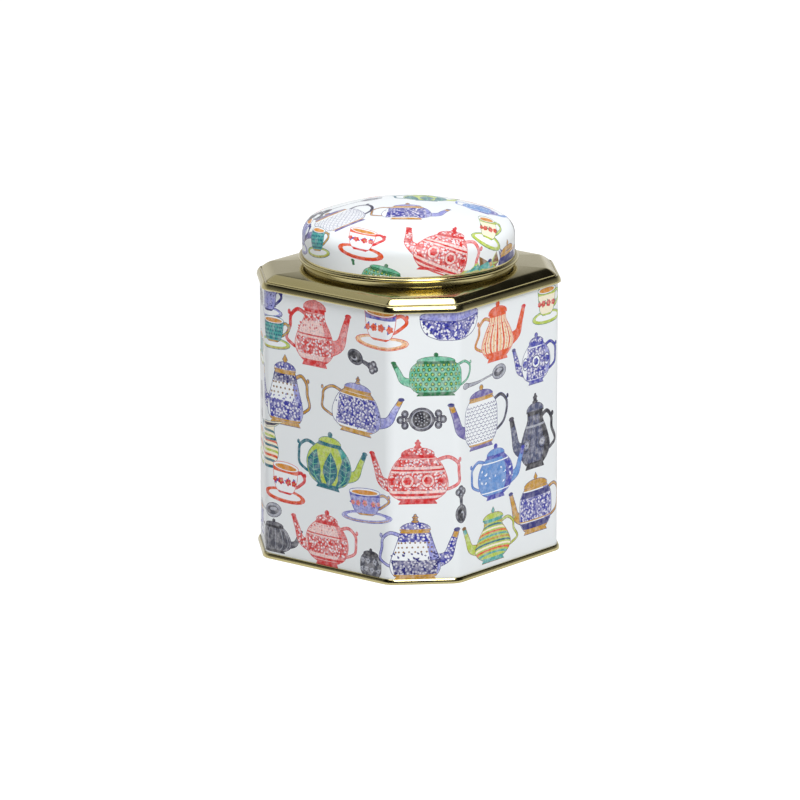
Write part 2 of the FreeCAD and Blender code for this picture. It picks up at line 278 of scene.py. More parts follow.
class Motif:
    """One drawing about its own foot, made of shapes in painting order."""

    pen_width = 0.26

    def __init__(self, seed, pen="pen"):
        self.shapes = []
        self.pen = pen
        self.hand = random.Random(seed)

    def fill(self, outline, ink):
        self.shapes.append(([Vector(point) for point in outline], ink))

    def inked(self, outline, ink):
        outline = [Vector(point) for point in outline]
        self.fill(grown(outline, self.pen_width), self.pen)
        self.fill(outline, ink)

    def line(self, points, width, ink, end=None):
        self.fill(ribbon(points, width, end), ink)

    def bloom(self, at, size, petals, heart, count=5):
        turn = self.hand.uniform(0, 90)
        for petal in range(count):
            angle = math.radians(turn + 360 * petal / count)
            spot = at + Vector((math.cos(angle), math.sin(angle))) * size * 0.55
            self.fill(oval(spot.x, spot.y, size * 0.42, size * 0.42, 6), petals)
        self.fill(oval(at.x, at.y, size * 0.26, size * 0.26, 5), heart)

    def sprig(self, at, size, ink):
        """One pointed leaf."""
        angle = self.hand.uniform(0, 360)
        along = Vector((math.cos(math.radians(angle)), math.sin(math.radians(angle))))
        across = Vector((-along.y, along.x)) * size * 0.3
        self.fill([at, at + along * size * 0.45 - across, at + along * size,
                   at + along * size * 0.45 + across], ink)


class Vessel(Motif):
    """A thrown body with a curved side: half widths at shares of its height."""

    def __init__(self, seed, width, height, side, foot=0.0, pen="pen"):
        super().__init__(seed, pen)
        self.width, self.height, self.foot = width, height, foot
        self.curve = smooth(side, 6)

    def half(self, share):
        for a, b in zip(self.curve, self.curve[1:]):
            if a.x <= share <= b.x:
                return (a.y + (b.y - a.y) * (share - a.x) / max(b.x - a.x, 1e-6)) * self.width / 2
        return self.curve[-1].y * self.width / 2

    def spot(self, turn, share):
        """A point on the body, by degrees round from the front and share of the height."""
        return Vector((math.sin(math.radians(turn)) * self.half(share),
                       self.foot + share * self.height))

    def patch(self, turn_low, turn_high, low, high, steps):
        """The part of the body between two turns and two shares of its height."""
        shares = [low + (high - low) * step / steps for step in range(steps + 1)]
        right = [self.spot(turn_high, share) for share in shares]
        left = [self.spot(turn_low, share) for share in shares]
        return right + left[::-1]

    def body(self, ink, shade=None):
        self.inked(self.patch(-90, 90, 0.0, 1.0, 14), ink)
        if shade:
            self.fill(self.patch(38, 86, 0.03, 0.95, 7), shade)

    def band(self, low, high, ink, sag=0.0):
        """A painted ring, dipping by sag at the front as a turned edge does."""
        turns = range(-90, 91, 30)
        bow = [math.cos(math.radians(turn)) * sag for turn in turns]
        bottom = [self.spot(turn, low) - Vector((0, dip)) for turn, dip in zip(turns, bow)]
        top = [self.spot(turn, high) - Vector((0, dip)) for turn, dip in zip(turns, bow)]
        self.fill(bottom + top[::-1], ink)

    def handle(self, side, low, high, reach, width, ink):
        """An ear-shaped handle behind the body."""
        a = self.spot(80 * side, high)
        b = self.spot(80 * side, low)
        tall = a.y - b.y
        path = smooth([a - Vector((side * 0.3, 0)), a + Vector((side * reach * 0.5, tall * 0.1)),
                       a + Vector((side * reach * 0.95, -tall * 0.12)),
                       a + Vector((side * reach, -tall * 0.42)),
                       b + Vector((side * reach * 0.62, tall * 0.22)),
                       b + Vector((side * reach * 0.2, tall * 0.04)), b], 5)
        self.fill(ribbon(path, width + 2 * self.pen_width, width * 0.7 + 2 * self.pen_width),
                  self.pen)
        self.fill(ribbon(path, width, width * 0.7), ink)
        curl = a + Vector((side * reach * 1.06, -tall * 0.02))
        self.inked(oval(curl.x, curl.y, width * 0.5, width * 0.8, 7), ink)

    def spout(self, side, low, reach, top, wide, narrow, ink, trim):
        """A curved spout from the belly up to a lip."""
        root = self.spot(52 * side, low)
        lip = Vector((self.spot(90 * side, low).x + side * reach, self.foot + top * self.height))
        rise = lip.y - root.y
        path = smooth([root, root + Vector((side * (abs(lip.x - root.x)) * 0.55, rise * 0.16)),
                       root + Vector((side * abs(lip.x - root.x) * 0.78, rise * 0.58)), lip], 5)
        band = ribbon(path, wide, narrow, wide * 0.55)
        self.inked(band, ink)
        self.fill(ribbon(path[-4:], narrow * 1.1, narrow * 1.3), trim)
        self.inked(oval(lip.x, lip.y + 0.1, narrow * 0.75, narrow * 0.38, 8), self.pen)

    def lid(self, wide, tall, knob, ink, trim, shape="ball"):
        """A domed cover with its knob, sitting on the mouth."""
        base = self.foot + self.height
        dome = [Vector((wide / 2 * math.cos(math.radians(angle)),
                        base + tall * math.sin(math.radians(angle)))) for angle in range(0, 181, 20)]
        self.inked(dome, ink)
        self.fill(ribbon([(-wide / 2, base + 0.2), (0, base - 0.1), (wide / 2, base + 0.2)], 0.5),
                  trim)
        top = base + tall
        if shape == "ball":
            self.inked(oval(0, top + knob * 0.8, knob * 0.8, knob * 0.8, 10), trim)
        elif shape == "drop":
            self.inked([(-knob * 0.3, top), (-knob * 0.8, top + knob * 0.7), (0, top + knob * 2.1),
                        (knob * 0.8, top + knob * 0.7), (knob * 0.3, top)][::-1], trim)
        else:
            for step, share in enumerate((1.0, 0.6, 0.8, 0.3)):
                self.inked(oval(0, top + knob * (0.3 + 0.6 * step), knob * share, knob * 0.34, 8),
                           trim)

    def stand(self, wide, tall, ink):
        """A foot ring under the body."""
        half = self.half(0) * 0.86
        self.inked([(-wide / 2, self.foot - tall), (wide / 2, self.foot - tall),
                    (half, self.foot + 0.3), (-half, self.foot + 0.3)], ink)


def pattern(draw):
    """A pattern is chosen with its own settings first, and painted on its vessel later."""
    return lambda *settings, **more: lambda vessel: draw(vessel, *settings, **more)


@pattern
def blooms(pot, petals, heart, leaves, size, rows, apart):
    for row, share in enumerate(rows):
        for turn in range(-68 + 14 * (row % 2), 76, apart):
            turn += pot.hand.uniform(-5, 5)
            at = pot.spot(turn, share + pot.hand.uniform(-0.02, 0.02))
            for _ in range(2):
                pot.sprig(at, size * 1.3, leaves)
            pot.bloom(at, size * (0.6 + 0.4 * math.cos(math.radians(turn))), petals, heart)


@pattern
def foliage(pot, ink, count=60, size=1.4, low=0.06, high=0.94):
    for _ in range(count):
        at = pot.spot(pot.hand.uniform(-80, 80), pot.hand.uniform(low, high))
        pot.sprig(at, size * pot.hand.uniform(0.5, 1.0), ink)


@pattern
def scales(pot, ink, rows, columns, low=0.1, high=0.92):
    for row in range(rows):
        share = low + (high - low) * row / rows
        tall = (high - low) * pot.height / rows
        for column in range(columns):
            turn = -76 + 152 * (column + 0.5 * (row % 2)) / columns
            a, b = pot.spot(turn, share), pot.spot(min(turn + 152 / columns, 84), share)
            middle = (a + b) / 2 - Vector((0, tall * 0.75))
            pot.fill(ribbon([a, a * 0.3 + middle * 0.7, b * 0.3 + middle * 0.7, b], 0.26), ink)


@pattern
def rings(pot, ink, heart, size, rows, columns, low=0.12, high=0.9):
    for row in range(rows):
        share = low + (high - low) * row / (rows - 1)
        for column in range(columns):
            turn = -72 + 144 * (column + 0.5 * (row % 2)) / columns
            at = pot.spot(turn, share)
            thin = max(math.cos(math.radians(turn)), 0.35)
            pot.fill(oval(at.x, at.y, size * thin, size, 8), ink)
            pot.fill(oval(at.x, at.y, size * 0.5 * thin, size * 0.5, 6), heart)


@pattern
def dots(pot, ink, size, rows, columns, low, high):
    for row in range(rows):
        share = low + (high - low) * row / (rows - 1)
        for column in range(columns):
            at = pot.spot(-66 + 132 * (column + 0.5 * (row % 2)) / columns, share)
            pot.fill(oval(at.x, at.y, size, size, 6), ink)


@pattern
def ribs(pot, ink, turns=(-66, -44, -20, 6, 32, 56, 74), width=0.4):
    for turn in turns:
        pot.line([pot.spot(turn, share / 8) for share in range(9)], width * 0.5, ink, width)


@pattern
def gores(pot, inks, count, lean):
    """Upright stripes that lean with the body's curve."""
    for stripe in range(count):
        low = -84 + 168 * stripe / count
        high = low + 168 / count * 0.62
        left = [pot.spot(max(min(low + lean * share / 6, 86), -86), share / 6) for share in range(7)]
        right = [pot.spot(max(min(high + lean * share / 6, 86), -86), share / 6)
                 for share in range(7)]
        pot.fill(right + left[::-1], inks[stripe % len(inks)])


@pattern
def rounds(pot, ink, heart, rim, share, size, turns=(-50, 0, 50)):
    """Panels of a flower in a ring, round the middle of the body."""
    for turn in turns:
        at = pot.spot(turn, share)
        thin = max(math.cos(math.radians(turn)), 0.5)
        pot.fill(oval(at.x, at.y, size * thin, size, 14), rim)
        pot.fill(oval(at.x, at.y, size * thin - 0.4, size - 0.4, 14), heart)
        pot.bloom(at, size * 0.62, ink, rim, 6)


@pattern
def fronds(pot, ink, vein, turns=(-46, 4, 52), low=0.02, high=0.8):
    """Large ribbed leaves that wrap the body."""
    for turn in turns:
        middle = [pot.spot(turn, low + (high - low) * step / 6) for step in range(7)]
        wide = [2.6, 5.6, 7.6, 7.6, 6.0, 3.4, 0.3]
        left = [point + Vector((-span / 2, 0)) for point, span in zip(middle, wide)]
        right = [point + Vector((span / 2, 0)) for point, span in zip(middle, wide)]
        keep = [pot.half(low + (high - low) * step / 6) * 0.97 for step in range(7)]
        left = [Vector((max(point.x, -limit), point.y)) for point, limit in zip(left, keep)]
        right = [Vector((min(point.x, limit), point.y)) for point, limit in zip(right, keep)]
        pot.fill(right + left[::-1], ink)
        pot.line(middle, 0.5, vein, 0.2)
        for step in range(1, 6):
            for edge in (left[step], right[step]):
                tip = middle[step] + (edge - middle[step]) * 0.86 + Vector((0, 1.1))
                pot.line([middle[step], tip], 0.3, vein, 0.14)


# The shapes of the wares: half widths at shares of the height, from the foot up.
GLOBE = [(0, 0.5), (0.14, 0.84), (0.46, 1.0), (0.76, 0.86), (1, 0.46)]
SQUAT = [(0, 0.62), (0.16, 0.93), (0.42, 1.0), (0.78, 0.8), (1, 0.5)]
PEAR = [(0, 0.6), (0.12, 0.86), (0.3, 1.0), (0.58, 0.8), (0.84, 0.5), (1, 0.52)]
TALL = [(0, 0.84), (0.12, 0.98), (0.3, 1.0), (0.7, 0.74), (1, 0.56)]
BARREL = [(0, 0.7), (0.2, 0.96), (0.5, 1.0), (0.8, 0.94), (1, 0.66)]
JUG = [(0, 0.6), (0.18, 0.92), (0.42, 1.0), (0.72, 0.74), (0.9, 0.66), (1, 0.78)]
CUP = [(0, 0.42), (0.14, 0.7), (0.45, 0.88), (0.8, 0.95), (1, 1.0)]
BOWL = [(0, 0.4), (0.2, 0.76), (0.55, 0.94), (1, 1.0)]


def pot(seed, width, height, side, ink, trim, spout, paint, shade=None, knob="ball", grip=None,
        cover=None, foot=None, wide=0.62, pen="pen", tall=0.68):
    """A covered pot: its body takes most of the width, and spout and handle the rest."""
    body_width, body_height = width * wide, height * tall
    item = Vessel(seed, body_width, body_height, side, foot=height * 0.07, pen=pen)
    mouth = item.half(1) * 2
    reach = width * 0.3
    if spout:
        item.handle(-spout, 0.22, 0.88, reach * 0.72, height * 0.038, grip or trim)
        item.spout(spout, 0.3, reach * 0.66, 0.98, height * 0.2, height * 0.062,
                   cover or ink, trim)
    item.stand(item.half(0) * 2.1, height * 0.06, foot or trim)
    item.body(ink, shade)
    paint(item)
    item.band(0.94, 1.0, trim, 0.3)
    item.band(0.0, 0.04, trim, 0.4)
    item.lid(mouth * 1.12, height * 0.11, height * 0.05, cover or ink, trim, knob)
    return item


def cup(seed, width, height, ink, trim, paint, pen, saucer=None):
    """A cup of tea on its saucer, seen a little from above."""
    item = Vessel(seed, width * 0.62, height * 0.64, CUP, foot=height * 0.22, pen=pen)
    item.inked(oval(0, height * 0.16, width * 0.5, height * 0.16, 20), saucer or ink)
    item.fill(oval(0, height * 0.17, width * 0.4, height * 0.1, 16), "white")
    item.line(oval(0, height * 0.15, width * 0.46, height * 0.13, 12, 190, 350), 0.3, trim)
    item.handle(1, 0.3, 0.86, width * 0.17, height * 0.06, trim)
    item.body(ink)
    paint(item)
    item.band(0.0, 0.07, trim, 0.2)
    top = item.foot + item.height
    rim = item.half(1)
    item.inked(oval(0, top, rim, height * 0.1, 18), "white")
    item.fill(oval(0, top - height * 0.012, rim * 0.86, height * 0.066, 16), "amber")
    return item


def bowl(seed, width, height, ink, trim, inside, paint, pen):
    item = Vessel(seed, width * 0.9, height * 0.8, BOWL, pen=pen)
    item.body(ink)
    paint(item)
    item.band(0.86, 0.93, trim, 0.6)
    item.inked(oval(0, item.height, item.half(1), height * 0.17, 20), inside)
    item.line(oval(0, item.height, item.half(1) * 0.93, height * 0.13, 20, 0, 356), 0.3, trim)
    return item


def jug(seed, width, height, ink, trim, spout, paint, pen):
    item = Vessel(seed, width * 0.56, height * 0.86, JUG, foot=height * 0.05, pen=pen)
    item.handle(-spout, 0.25, 0.9, width * 0.26, height * 0.06, trim)
    item.stand(item.half(0) * 2.1, height * 0.05, trim)
    item.body(ink)
    paint(item)
    top, rim = item.foot + item.height, item.half(1)
    lip = [Vector((-rim * 1.02, top - 0.3)), Vector((-rim * 1.75, top + height * 0.1)),
           Vector((-rim * 0.9, top + height * 0.06)), Vector((rim * 0.4, top + height * 0.05)),
           Vector((rim, top - 0.1)), Vector((0, top - height * 0.06))]
    item.inked([Vector((point.x * -spout, point.y)) for point in lip], ink)
    item.fill([Vector((point.x * -spout * 0.86, (point.y - top) * 0.6 + top)) for point in lip],
              "pen")
    item.band(0.62, 0.68, trim, 0.3)
    return item


def spoon(seed, length, ink, light):
    """A spoon lying on its back, with its bowl to the right."""
    item = Motif(seed)
    stem = smooth([(-length / 2, 0.6), (-length * 0.2, -0.2), (length * 0.12, 0.1),
                   (length * 0.3, 0)], 4)
    item.fill(ribbon(stem, 1.7 + item.pen_width * 2, 1.0, 0.9), "coal")
    item.fill(ribbon(stem, 1.7, 0.6, 0.6), ink)
    item.inked(oval(-length / 2, 0.6, length * 0.07, length * 0.045, 9), ink)
    item.inked(oval(length * 0.36, 0, length * 0.17, length * 0.115, 16), ink)
    item.fill(oval(length * 0.35, 0, length * 0.13, length * 0.075, 12), light)
    item.fill(oval(length * 0.37, length * 0.02, length * 0.08, length * 0.03, 10), "silver")
    return item


def scoop(seed, length, ink, dark, light):
    """A short tea scoop with a pierced, scrolled handle."""
    item = Motif(seed)
    for x, y in ((-0.44, 0.0), (-0.36, 0.09), (-0.36, -0.09), (-0.27, 0.0)):
        item.inked(oval(length * x, length * y, length * 0.09, length * 0.085, 10), ink)
        item.fill(oval(length * x, length * y, length * 0.045, length * 0.04, 8), light)
    item.inked([(-length * 0.26, -length * 0.05), (length * 0.04, -length * 0.035),
                (length * 0.04, length * 0.035), (-length * 0.26, length * 0.05)], ink)
    item.inked(oval(length * 0.26, 0, length * 0.25, length * 0.19, 20), ink)
    item.fill(oval(length * 0.27, 0, length * 0.2, length * 0.145, 18), dark)
    item.fill(oval(length * 0.3, length * 0.03, length * 0.12, length * 0.07, 12), light)
    item.fill(oval(length * 0.33, length * 0.01, length * 0.1, length * 0.06, 12), dark)
    return item


def strainer(seed, width, height, ink, light):
    """A round strainer seen from above, with a scrolled ear on each side."""
    item = Motif(seed)
    middle = height * 0.5
    for side in (-1, 1):
        item.inked([(side * width * 0.2, middle - 1), (side * width * 0.36, middle - 0.6),
                    (side * width * 0.36, middle + 0.6), (side * width * 0.2, middle + 1)][::side],
                   ink)
        for x, y in ((0.36, 0.24), (0.36, -0.24), (0.46, 0.0)):
            item.inked(oval(side * width * x, middle + height * y, width * 0.07, height * 0.15, 10),
                       ink)
            item.fill(oval(side * width * x, middle + height * y, width * 0.033, height * 0.07, 7),
                      light)
    item.inked(oval(0, middle, width * 0.27, height * 0.48, 24), ink)
    item.fill(oval(0, middle, width * 0.225, height * 0.4, 22), light)
    item.fill(oval(0, middle, width * 0.2, height * 0.36, 22), "coal")
    for ring, count in ((0.0, 1), (0.065, 6), (0.13, 11)):
        for hole in range(count):
            angle = 2 * math.pi * hole / count + ring * 9
            item.fill(oval(math.cos(angle) * width * ring,
                           middle + math.sin(angle) * width * ring, 0.34, 0.34, 5), "silver")
    return item


@pattern
def banded(item, low, high, ink, sag=0.5):
    item.band(low, high, ink, sag)


def both(*patterns):
    """Several patterns, painted one after another."""
    def paint(item):
        for each in patterns:
            each(item)
    return paint


WARES = {
    "rose_pot": lambda: pot(
        1, 37, 32, PEAR, "blush", "scarlet", 1, both(
            banded(0.14, 0.46, "redwork"), banded(0.5, 0.53, "red"), banded(0.8, 0.94, "redwork"),
            foliage("red", 18, 1.6, 0.56, 0.78)),
        knob="drop", cover="rose", shade="rose", pen="red", wide=0.56),
    "tall_coffee_pot": lambda: pot(
        2, 28, 31, TALL, "white", "gold", -1, both(
            banded(0.0, 0.42, "bluework"), foliage("blue", 30, 1.6, 0.38, 0.5),
            dots("bronze", 0.5, 3, 7, 0.54, 0.74), banded(0.78, 0.95, "navywork")),
        knob="drop", cover="bluework", foot="gold", wide=0.66, pen="navy", shade="lilac"),
    "garden_pot": lambda: pot(
        3, 46, 26, SQUAT, "white", "gold", 1, both(
            banded(0.1, 0.84, "bluework"), foliage("navy", 30, 1.5), banded(0.86, 0.94, "gold")),
        grip="gold", cover="lilac", knob="tower", pen="navy", shade="lilac", wide=0.58),
    "leaf_pot": lambda: pot(
        4, 38, 26, GLOBE, "lime", "teal", 1,
        fronds("teal", "mint"), cover="lime", grip="teal",
        shade="aqua", pen="teal"),
    "fire_cup": lambda: cup(
        5, 22, 18, "white", "red", pen="red", paint=both(
            blooms("red", "gold", "blue", size=1.8, rows=(0.45,), apart=40),
            banded(0.78, 0.94, "orange", 0.2)), saucer="orange"),
    "dusk_cup": lambda: cup(
        6, 28, 16, "lilac", "gold", pen="blue", paint=both(
            blooms("rose", "gold", "blue", size=1.6, rows=(0.5,), apart=34),
            banded(0.8, 0.92, "blue", 0.2)), saucer="lilac"),
    "ribbed_pot": lambda: pot(
        7, 30, 16, SQUAT, "pewter", "coal", 1, ribs("silver"), wide=0.66),
    "blush_pot": lambda: pot(
        8, 39, 27, GLOBE, "blush", "red", -1, both(
            banded(0.2, 0.62, "redwork"), banded(0.06, 0.12, "red"), banded(0.66, 0.69, "red"),
            foliage("red", 16, 1.5, 0.74, 0.92)),
        cover="redwork", grip="rose", shade="rose", pen="red"),
    "night_canister": lambda: pot(
        9, 18, 14, BARREL, "pewter", "coal", 0, blooms(
            "silver", "coal", "silver", size=1.3, rows=(0.3, 0.7), apart=40), cover="coal"),
    "harvest_cup": lambda: cup(
        10, 25, 18, "white", "orange", pen="red", paint=both(
            blooms("orange", "red", "blue", size=1.9, rows=(0.42,), apart=38),
            banded(0.74, 0.96, "blue", 0.2)), saucer="peach"),
    "willow_bowl": lambda: bowl(
        11, 30, 12, "white", "blue", "lilac", both(
            banded(0.05, 0.85, "bluework"), foliage("navy", 26, 1.6)), pen="navy"),
    "ringed_pot": lambda: pot(
        12, 37, 21, BARREL, "mint", "leaf", -1,
        rings("leaf", "lime", 1.0, 6, 10), cover="mint",
        grip="mint", pen="leaf", wide=0.64),
    "strainer": lambda: strainer(13, 20, 10.5, "pewter", "silver"),
    "berry_pot": lambda: pot(
        14, 43, 29, SQUAT, "blush", "red", -1, both(
            banded(0.22, 0.62, "redwork"),
            rounds("scarlet", "blush", "red", 0.42, 3.2, (-60, -20, 20, 60)),
            banded(0.1, 0.16, "red"), banded(0.66, 0.7, "red"), banded(0.76, 0.93, "redwork")),
        knob="tower", cover="redwork", grip="rose", pen="red", wide=0.6),
    "starry_coffee_pot": lambda: pot(
        15, 37, 29, TALL, "white", "gold", 1, both(
            banded(0.0, 0.36, "navywork"), foliage("navy", 34, 1.8, 0.32, 0.48),
            dots("bronze", 0.45, 3, 8, 0.52, 0.72), banded(0.76, 0.95, "bluework")),
        knob="tower", cover="bluework", grip="lilac", wide=0.56, pen="navy", shade="lilac"),
    "sunset_coffee_pot": lambda: pot(
        16, 34, 27, PEAR, "cream", "orange", 1, both(
            gores(["orange", "peach"], 13, 4), banded(0.0, 0.14, "orange"),
            dots("red", 0.3, 5, 8, 0.25, 0.75)), cover="orange", grip="gold", pen="red"),
    "berry_cup": lambda: cup(
        17, 19, 17, "cream", "lime", pen="leaf", paint=both(
            blooms("red", "gold", "leaf", size=1.7, rows=(0.45,), apart=40),
            banded(0.8, 0.94, "lime", 0.2)), saucer="lime"),
    "dessert_spoon": lambda: spoon(18, 27, "silver", "pewter"),
    "moon_pot": lambda: pot(
        19, 30, 23, GLOBE, "white", "blue", -1, both(
            banded(0.06, 0.92, "bluework"), rounds("blue", "white", "navy", 0.5, 2.8)),
        cover="bluework", shade="lilac", pen="navy"),
    "scale_pot": lambda: pot(
        20, 38, 28, BARREL, "white", "gold", -1, scales("navy", 11, 10), cover="violet",
        grip="coal", foot="violet", pen="navy", wide=0.56, tall=0.72),
    "pewter_urn": lambda: pot(
        21, 30, 33, PEAR, "slate", "coal", -1, both(
            ribs("coal"), rounds("silver", "slate", "coal", 0.38, 2.8, (-36, 30)),
            banded(0.72, 0.76, "silver")), knob="tower", cover="slate", grip="coal",
        shade="coal", wide=0.66),
    "sky_pot": lambda: pot(
        22, 37, 25, GLOBE, "sky", "blue", 1, both(
            foliage("white", 16, 1.9, 0.3, 0.7), banded(0.1, 0.13, "white"),
            banded(0.84, 0.87, "white")), cover="sky", grip="sky", shade="blue", pen="blue"),
    "crown_pot": lambda: pot(
        23, 31, 27, BARREL, "white", "gold", -1, both(
            banded(0.24, 0.78, "bluework"), banded(0.04, 0.2, "navy"), banded(0.22, 0.25, "gold"),
            banded(0.78, 0.92, "navy")), knob="drop", cover="gold", pen="navy",
        shade="lilac", wide=0.68),
    "tea_scoop": lambda: scoop(24, 15.5, "pewter", "coal", "silver"),
    "fair_pot": lambda: pot(
        25, 37, 24, PEAR, "lime", "aqua", -1, both(
            *[banded(0.04 + 0.09 * step, 0.09 + 0.09 * step,
                     ("aqua", "orange", "cream", "teal", "gold")[step % 5], -1.2)
              for step in range(10)]), cover="lime", grip="lime", knob="drop", pen="bronze"),
    "lagoon_cup": lambda: cup(
        26, 18, 14, "aqua", "gold", dots("teal", 0.5, 5, 8, 0.15, 0.85),
        saucer="lime", pen="teal"),
    "bluebell_cup": lambda: cup(
        27, 17, 15, "lilac", "navy", pen="navy", paint=foliage("navy", 24, 1.3)),
    "ribbon_jug": lambda: jug(
        28, 24, 20, "cream", "teal", 1, both(
            *[banded(0.05 + 0.12 * step, 0.11 + 0.12 * step,
                     ("teal", "orange", "lime")[step % 3], -0.8) for step in range(7)]),
        pen="teal"),
}


class Plate(Motif):
    """The flat artwork of one piece, to which the wares are stamped one after another."""

    def stamp(self, name, across, up, turn, size, bend=None):
        spin = math.radians(turn)
        for outline, ink in WARES[name]().shapes:
            placed = []
            for point in outline:
                x, y = point.x * size, point.y * size
                x, y = (x * math.cos(spin) - y * math.sin(spin),
                        x * math.sin(spin) + y * math.cos(spin))
                placed.append(bend(across + x, up + y) if bend else Vector((across + x, up + y)))
            self.fill(placed, ink)


def clipped(outline, axis, limit, keep_above):
    """The part of an outline on one side of a straight cut."""
    sign = 1 if keep_above else -1
    kept = []
    for a, b in zip(outline, outline[1:] + outline[:1]):
        da, db = sign * (a[axis] - limit), sign * (b[axis] - limit)
        if da >= 0:
            kept.append(a)
        if da * db < 0:
            kept.append(a.lerp(b, da / (da - db)))
    return kept


def plan_offset(along, outset):
    """The plan at a distance out from the wall; deep inside, its corners are sharp mitres."""
    if outset > -FOLD_RADIUS * 0.98:
        place, normal = plan_point(along)
        return place + normal * outset
    index = bisect_right(SEGMENT_STARTS, along % GIRTH) - 1
    start, place, heading, folds = SEGMENTS[index]

    def mitre(fold):
        _, corner_place, corner_heading, _ = SEGMENTS[fold]
        centre = corner_place - Vector((math.sin(corner_heading),
                                        -math.cos(corner_heading))) * FOLD_RADIUS
        aim = corner_heading + math.radians(22.5)
        return centre + Vector((math.sin(aim), -math.cos(aim))) * (
            (outset + FOLD_RADIUS) / math.cos(math.radians(22.5)))

    if folds:
        return mitre(index)
    ends = SEGMENT_STARTS[1:] + [GIRTH]
    length = ends[index] - start
    share = (along % GIRTH - start) / length
    first, last = mitre((index - 1) % 17 if index else 15), mitre(index + 1 if index < 16 else 1)
    if index in (0, 16):
        share = (share + 1) / 2 if index == 0 else share / 2
    return first.lerp(last, share)


WELDS_PER_MM = 1000      # corners that fall on the same micrometre are one
SMOOTH_UP_TO = 40        # degrees between faces
INK_DEPTH = 2.45


class Pressing:
    """A piece of tin as it takes shape: skins, their finish, and their place on the flat blank."""

    def __init__(self, name, finishes):
        self.name, self.finishes = name, finishes
        self.points, self.faces, self.known = [], [], {}

    def corner(self, point):
        key = tuple(round(value * WELDS_PER_MM + 0.37) for value in point)
        if key not in self.known:
            self.known[key] = len(self.points)
            self.points.append(Vector(point))
        return self.known[key]

    def face(self, corners, flats, finish, ink=None, normals=None):
        """Adds one face; corners that fall together are merged."""
        kept = []
        for index, point in enumerate(corners):
            number = self.corner(point)
            if number not in [entry[0] for entry in kept]:
                kept.append((number, flats[index], normals[index] if normals else None))
        if len(kept) > 2:
            self.faces.append((kept, finish, ink or (0, 0, 0, 0)))

    def sweep(self, rings, flat_across, flat_up, finishes, closes=False):
        """Skins between rings of points: rings run up the outside and down the inside."""
        count = len(rings[0])
        pairs = list(zip(range(len(rings) - 1), range(1, len(rings))))
        if closes:
            pairs.append((len(rings) - 1, 0))
        for low, high in pairs:
            finish = finishes[low] if isinstance(finishes, list) else finishes
            for k in range(count):
                m = (k + 1) % count
                self.face([rings[low][k], rings[low][m], rings[high][m], rings[high][k]],
                          [(flat_across[k], flat_up[low]), (flat_across[k + 1], flat_up[low]),
                           (flat_across[k + 1], flat_up[low + 1]),
                           (flat_across[k], flat_up[low + 1])], finish)

    def press(self, plate, ground, lines, lay):
        """Prints the plate on the ground outline; lay gives each point's place, normal and flat."""
        points, edges, outlines = list(ground), [], [list(range(len(ground)))]
        for line in lines:
            first = len(points)
            points += line
            edges += [(first + step, first + step + 1) for step in range(len(line) - 1)]
        boxes, inks = [None], ["ground"]
        for outline, ink in plate.shapes:
            if len(outline) < 3:
                continue
            if signed_area(outline) < 0:
                outline = outline[::-1]
            first = len(points)
            points += outline
            outlines.append(list(range(first, first + len(outline))))
            xs, ys = [point.x for point in outline], [point.y for point in outline]
            boxes.append((min(xs), max(xs), min(ys), max(ys)))
            inks.append(ink)
        spots, _, faces, _, _, owners = delaunay_2d_cdt(
            [Vector(point) for point in points], edges, outlines, 1, 1e-6, True)
        laid = [lay(spot) for spot in spots]
        tones = {ink: tuple((value / 255) ** INK_DEPTH for value in tone[:3]) + (tone[3],)
                 for ink, tone in INKS.items()}
        for face, owner in zip(faces, owners):
            if 0 not in owner:
                continue
            centre = sum((spots[number] for number in face), Vector((0, 0))) / len(face)
            top = 0
            for number in sorted(owner, reverse=True):
                box = boxes[number]
                if box is None or box[0] <= centre.x <= box[1] and box[2] <= centre.y <= box[3]:
                    top = number
                    break
            self.face([laid[number][0] for number in face], [laid[number][2] for number in face],
                      0, tones[inks[top]], [laid[number][1] for number in face])

    def finish(self, body, node, slot):
        """Makes the object, gives it its finishes, and puts it in the place of its CAD node."""
        mesh = bpy.data.meshes.new(self.name)
        mesh.from_pydata([point * MM for point in self.points], [],
                         [[entry[0] for entry in face[0]] for face in self.faces])
        for material in self.finishes:
            mesh.materials.append(material)
        mesh.polygons.foreach_set("material_index", [face[1] for face in self.faces])
        flat = mesh.uv_layers.new(name="OFBake")
        flat.data.foreach_set("uv", [value for face in self.faces for entry in face[0]
                                     for value in entry[1]])
        if any(face[2][3] for face in self.faces):
            ink = mesh.attributes.new("ink", "FLOAT_COLOR", "CORNER")
            ink.data.foreach_set("color", [value for face in self.faces for _ in face[0]
                                           for value in face[2]])
        mesh.shade_smooth()
        mesh.set_sharp_from_angle(angle=math.radians(SMOOTH_UP_TO))
        normals = [corner.vector.copy() for corner in mesh.corner_normals]
        index = 0
        for face in self.faces:
            for entry in face[0]:
                if entry[2] is not None:
                    normals[index] = entry[2]
                index += 1
        mesh.normals_split_custom_set(normals)
        mesh.validate()
        piece = bpy.data.objects.new(self.name, mesh)
        scene.collection.objects.link(piece)
        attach(piece, body)
        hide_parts(node)
        return piece


def ring_at(alongs, outset, radius, blend, height):
    """A ring that passes from the octagon's plan to a circle."""
    ring = []
    for along in alongs:
        place = plan_offset(along, outset)
        if blend:
            place = place.lerp(place.normalized() * radius, blend)
        ring.append(Vector((place.x, place.y, height)))
    return ring


def cut_through(section):
    """The section's points in a plane cut square through a flat side."""
    return [Vector(((1 - blend) * (ACROSS_FLATS / 2 + outset) + blend * radius, height))
            for outset, radius, blend, height in section]


def run_of(section):
    """Length along a closed section at each of its points, for its place on the flat blank."""
    spots = cut_through(section)
    lengths = [0.0]
    for a, b in zip(spots, spots[1:] + spots[:1]):
        lengths.append(lengths[-1] + (b - a).length)
    return lengths


